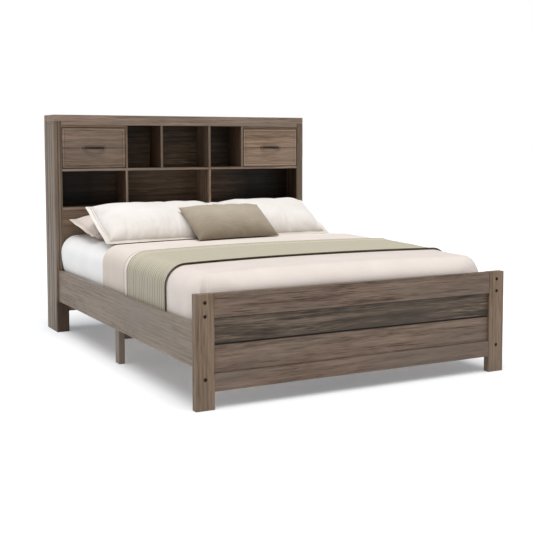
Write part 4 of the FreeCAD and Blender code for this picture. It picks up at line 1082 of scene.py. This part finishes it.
# %% Fit a case to its size
def fit_size(piece, seam, width, depth, thickness, straighten):
    """Scales a filled case to its size, takes out a share of how far its sides were drawn in, and pulls
    its corners out to points."""
    spots = np.array([v.co for v in piece.data.vertices])
    middle = (spots.max(0) + spots.min(0)) / 2
    spots -= middle
    edge = spots[seam]
    corner = np.abs(edge).max(0)
    side = np.abs(edge[np.abs(edge[:, 1]) < 0.1 * corner[1]][:, 0]).mean()
    end = np.abs(edge[np.abs(edge[:, 0]) < 0.1 * corner[0]][:, 1]).mean()
    u, v = spots[:, 0] / corner[0], spots[:, 1] / corner[1]
    spots[:, 0] /= 1 - straighten * (1 - side / corner[0]) * np.clip(1 - v ** 2, 0, 1)
    spots[:, 1] /= 1 - straighten * (1 - end / corner[1]) * np.clip(1 - u ** 2, 0, 1)
    corners = np.clip(np.abs(u), 0, 1) ** 9 * np.clip(np.abs(v), 0, 1) ** 7
    spots[:, 0] += 0.012 * corners * np.sign(u)
    spots[:, 1] += 0.010 * corners * np.sign(v)
    spots[:, 2] += 0.004 * np.clip(np.abs(u), 0, 1) ** 6 * np.clip(v, 0, 1) ** 5
    reach = np.ptp(spots, axis=0)
    spots *= np.array([width, depth, thickness]) / reach
    piece.data.vertices.foreach_set("co", spots.ravel())
    piece.data.update()
    return [round(float(x), 3) for x in (*reach, side / corner[0], end / corner[1])]


print("cases can be fitted")

# %% Make the five cases
FLANGE = 0.017
UNFILLED = 0.88
case_sizes = {
    # width, depth and thickness of the filled part in metres, its flange, how much its filling swells
    # it, how square its ends are, how far its sides are pulled straight again, and its finish
    "back_pillow_left": (0.640, 0.425, 0.150, FLANGE, 1.25, 4.0, 0.8, beige_case),
    "back_pillow_right": (0.640, 0.425, 0.150, FLANGE, 1.25, 4.0, 0.8, beige_case),
    "white_pillow_left_case": (0.742, 0.424, 0.190, FLANGE, 1.20, 7.0, 0.9, white_case),
    "white_pillow_right_case": (0.612, 0.424, 0.190, FLANGE, 1.20, 7.0, 0.9, white_case),
    "lumbar_cushion_cover": (0.536, 0.312, 0.145, 0.0, 1.15, 3.4, 0.7, taupe_linen),
}
cases, seams = {}, {}
for name, (width, depth, thickness, _, _, boxy, _, finish) in case_sizes.items():
    cases[name], seams[name] = sewn_panels(name, width, depth, thickness * UNFILLED, boxy, finish)
fill_with_cloth(cases, seams, {name: sizes[4] for name, sizes in case_sizes.items()},
                {name: 1.5 if "cushion" in name else 0.3 for name in case_sizes})
for name, (width, depth, thickness, _, _, _, straight, _) in case_sizes.items():
    print(name, "filled to", fit_size(cases[name], seams[name], width, depth, thickness, straight))

# %% [markdown]
# Each flange follows the seam: the seam's points are pushed out by the flange's width, mitred at the
# corners and waved up and down a little, because a double layer of cotton never lies quite flat.

# %% Creases along the lower edge
def crease_lower_edge(piece, depth, seed):
    """Upright creases near the edge that a leaning pillow stands on, where its filling is squeezed."""
    for vertex in piece.data.vertices:
        low = clamp((-2 * vertex.co.y / depth - 0.05) / 0.6)
        edge = clamp((1.0 + 2 * vertex.co.y / depth) / 0.15)
        fold = ripple((vertex.co.x, vertex.co.y, 0.0), (26.0, 5.0, 0.0), 50.0 + seed)
        finer = ripple((vertex.co.x, vertex.co.y, 0.0), (60.0, 9.0, 0.0), 60.0 + seed)
        if vertex.co.z > 0:
            vertex.co.z += low * edge * (0.012 * fold + 0.007 * finer)
    piece.data.update()


print("creases can be made")

# %% Flanges
# the upper half of a flange's outline, from inside the seam to its outer edge: the share of the way out
# and the height in metres
FLANGE_TOP = ((-0.2, 0.0024), (0.05, 0.0015), (0.16, 0.0012), (0.6, 0.0016), (0.93, 0.0013), (1.0, 0.0))


def add_flange(piece, seam, reach, wave, seed):
    """Sews a flat double flange to the seam, as part of the same mesh. Its outer edge is nearly straight
    and its corners are square, whatever the seam does."""
    shape = bmesh.new()
    shape.from_mesh(piece.data)
    shape.verts.ensure_lookup_table()
    loop = [shape.verts[i].co.copy() for i in seam]
    count = len(loop)
    half = Vector((max(abs(p.x) for p in loop), max(abs(p.y) for p in loop)))
    turns = [max(range(count), key=lambda i: loop[i].x * sx + loop[i].y * sy)
             for sx, sy in ((-1, -1), (1, -1), (1, 1), (-1, 1))]
    outer = []
    for i, point in enumerate(loop):
        side = sum(1 for turn in turns[1:] if i >= turn) % 4
        out = [Vector((0, -1)), Vector((1, 0)), Vector((0, 1)), Vector((-1, 0))][side]
        straight = point.xy * 0.25 + 0.75 * Vector((
            out.x * half.x if out.x else point.x, out.y * half.y if out.y else point.y))
        if i in turns:
            straight = Vector((math.copysign(half.x, point.x), math.copysign(half.y, point.y)))
            out = Vector((math.copysign(1, point.x), math.copysign(1, point.y)))
        outer.append(straight + out * reach)
    rings = []
    for share, lift in FLANGE_TOP + tuple((share, -lift) for share, lift in FLANGE_TOP[-2::-1]):
        ring = []
        for i, point in enumerate(loop):
            spot = point.xy + (outer[i] - point.xy) * share
            sway = wave * max(share, 0.0) * ripple((point.x, point.y, 0.0), (11.0, 11.0, 0.0), seed)
            ring.append(shape.verts.new((spot.x, spot.y, point.z + lift + sway)))
        rings.append(ring)
    for number, (low, high) in enumerate(zip(rings, rings[1:])):
        for i in range(count):
            j = (i + 1) % count
            face = shape.faces.new((low[i], low[j], high[j], high[i]))
            face.smooth = True
            # the strips next to the seam, on both faces, take the darker finish: a stitch line and painted
            # shade of the seam
            face.material_index = int(number in (1, len(rings) - 3))
    shape.to_mesh(piece.data)
    shape.free()
    piece.data.materials.append(stitched_hem_and_seam_shade)


for number, (name, sizes) in enumerate(case_sizes.items()):
    if name.startswith("white"):
        crease_lower_edge(cases[name], sizes[1], number)
    if sizes[3]:
        add_flange(cases[name], seams[name], sizes[3], 0.007, 5.0 + number)
print("flanges are sewn on")

# %% [markdown]
# ## Laying the pillows down
#
# Each case is tilted up towards the headboard, moved to its place and then pressed: points that would
# be inside the mattress, the duvet or the pillow behind are moved out to its surface. That makes the
# flat, heavy underside a real pillow has.

# %% Helpers to place and press
def lay_down(piece, place, tilt, turn=0.0, lean=0.0):
    """Leans a case sideways, tilts, turns and moves it in its mesh, in degrees and metres."""
    piece.data.transform(Matrix(((1, lean, 0, 0), (0, 1, 0, 0), (0, 0, 1, 0), (0, 0, 0, 1))))
    turned = Matrix.Rotation(math.radians(turn), 4, "Z") @ Matrix.Rotation(math.radians(tilt), 4, "X")
    piece.data.transform(Matrix.Translation(place) @ turned)
    piece.data.update()


def top_of_bed(x, y):
    """Height of the bedding under a point."""
    sizes = duvet_sizes(y) if y < DUVET_EDGE else mattress_sizes(y)
    half, swell, hip, crown, top = sizes
    flat = half + swell - SHOULDER
    ledge = top - crown
    if abs(x) <= flat:
        return ledge + crown * (1 - (x / flat) ** 2)
    over = min(abs(x) - flat, SHOULDER)
    return ledge - SHOULDER + math.sqrt(max(SHOULDER ** 2 - over ** 2, 0.0))


BED_GAP, CASE_GAP = 0.003, 0.0025


def press_on_bed(piece):
    """Moves points that are in the bedding up to its top."""
    for vertex in piece.data.vertices:
        floor = top_of_bed(vertex.co.x, vertex.co.y) + BED_GAP
        if vertex.co.z < floor:
            vertex.co.z = floor
    piece.data.update()


def press_on(piece, others, tilt):
    """Moves points that are in or behind another piece out to its face, straight up from the tilted case."""
    up = Matrix.Rotation(math.radians(tilt), 3, "X") @ Vector((0, 0, 1))
    for other in others:
        tree = BVHTree.FromObject(other, bpy.context.evaluated_depsgraph_get())
        for vertex in piece.data.vertices:
            spot = tree.ray_cast(vertex.co + up * 0.5, -up)[0]
            if spot is not None and (vertex.co - spot).dot(up) < CASE_GAP:
                vertex.co = spot + up * CASE_GAP
    piece.data.update()


print("bedding is", round(top_of_bed(0.0, 0.0), 3), "m high in the middle")

# %% Lay the five cases down
WHITE_TILT, CUSHION_TILT = 23.0, 34.0
places = {
    # where the case's middle goes, how far it tilts, turns and leans
    "back_pillow_left": ((-0.438, 0.668, MATTRESS_TOP + 0.054), 8.0, 0.0, 0.0),
    "back_pillow_right": ((0.270, 0.670, MATTRESS_TOP + 0.052), 8.0, 0.0, 0.0),
    "white_pillow_left_case": ((-0.384, 0.390, MATTRESS_TOP + 0.090), WHITE_TILT, 0.0, 0.03),
    "white_pillow_right_case": ((0.314, 0.408, MATTRESS_TOP + 0.090), WHITE_TILT, 0.0, 0.08),
    "lumbar_cushion_cover": ((-0.042, 0.204, MATTRESS_TOP + 0.093), CUSHION_TILT, 5.2, 0.0),
}
for name, (place, tilt, turn, lean) in places.items():
    lay_down(cases[name], place, tilt, turn, lean)
    press_on_bed(cases[name])
backs = [cases["back_pillow_left"], cases["back_pillow_right"]]
whites = [cases["white_pillow_left_case"], cases["white_pillow_right_case"]]
for white in whites:
    press_on(white, backs, WHITE_TILT)
    press_on_bed(white)
press_on(cases["lumbar_cushion_cover"], whites, CUSHION_TILT)
press_on_bed(cases["lumbar_cushion_cover"])

for piece in cases.values():
    rounder = piece.modifiers.new("rounder", "SUBSURF")
    rounder.levels = rounder.render_levels = 1
    keep_modifiers(piece)
    piece.data.polygons.foreach_set("use_smooth", [True] * len(piece.data.polygons))
print("five cases are laid down")

# %% Attach the pillows and hide their CAD parts
stands_for = {
    "back_pillow_left": ("back_pillows", "beige_pillowcase", 0.6),
    "back_pillow_right": ("back_pillows", "beige_pillowcase", 0.6),
    "white_pillow_left_case": ("white_pillow_left", "white_pillowcase", 0.6),
    "white_pillow_right_case": ("white_pillow_right", "white_pillowcase", 0.6),
    "lumbar_cushion_cover": ("lumbar_cushion", "taupe_linen", 0.7),
}
for name, (node_name, slot_name, fill) in stands_for.items():
    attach(cases[name], "frame")
    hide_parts(node_name)
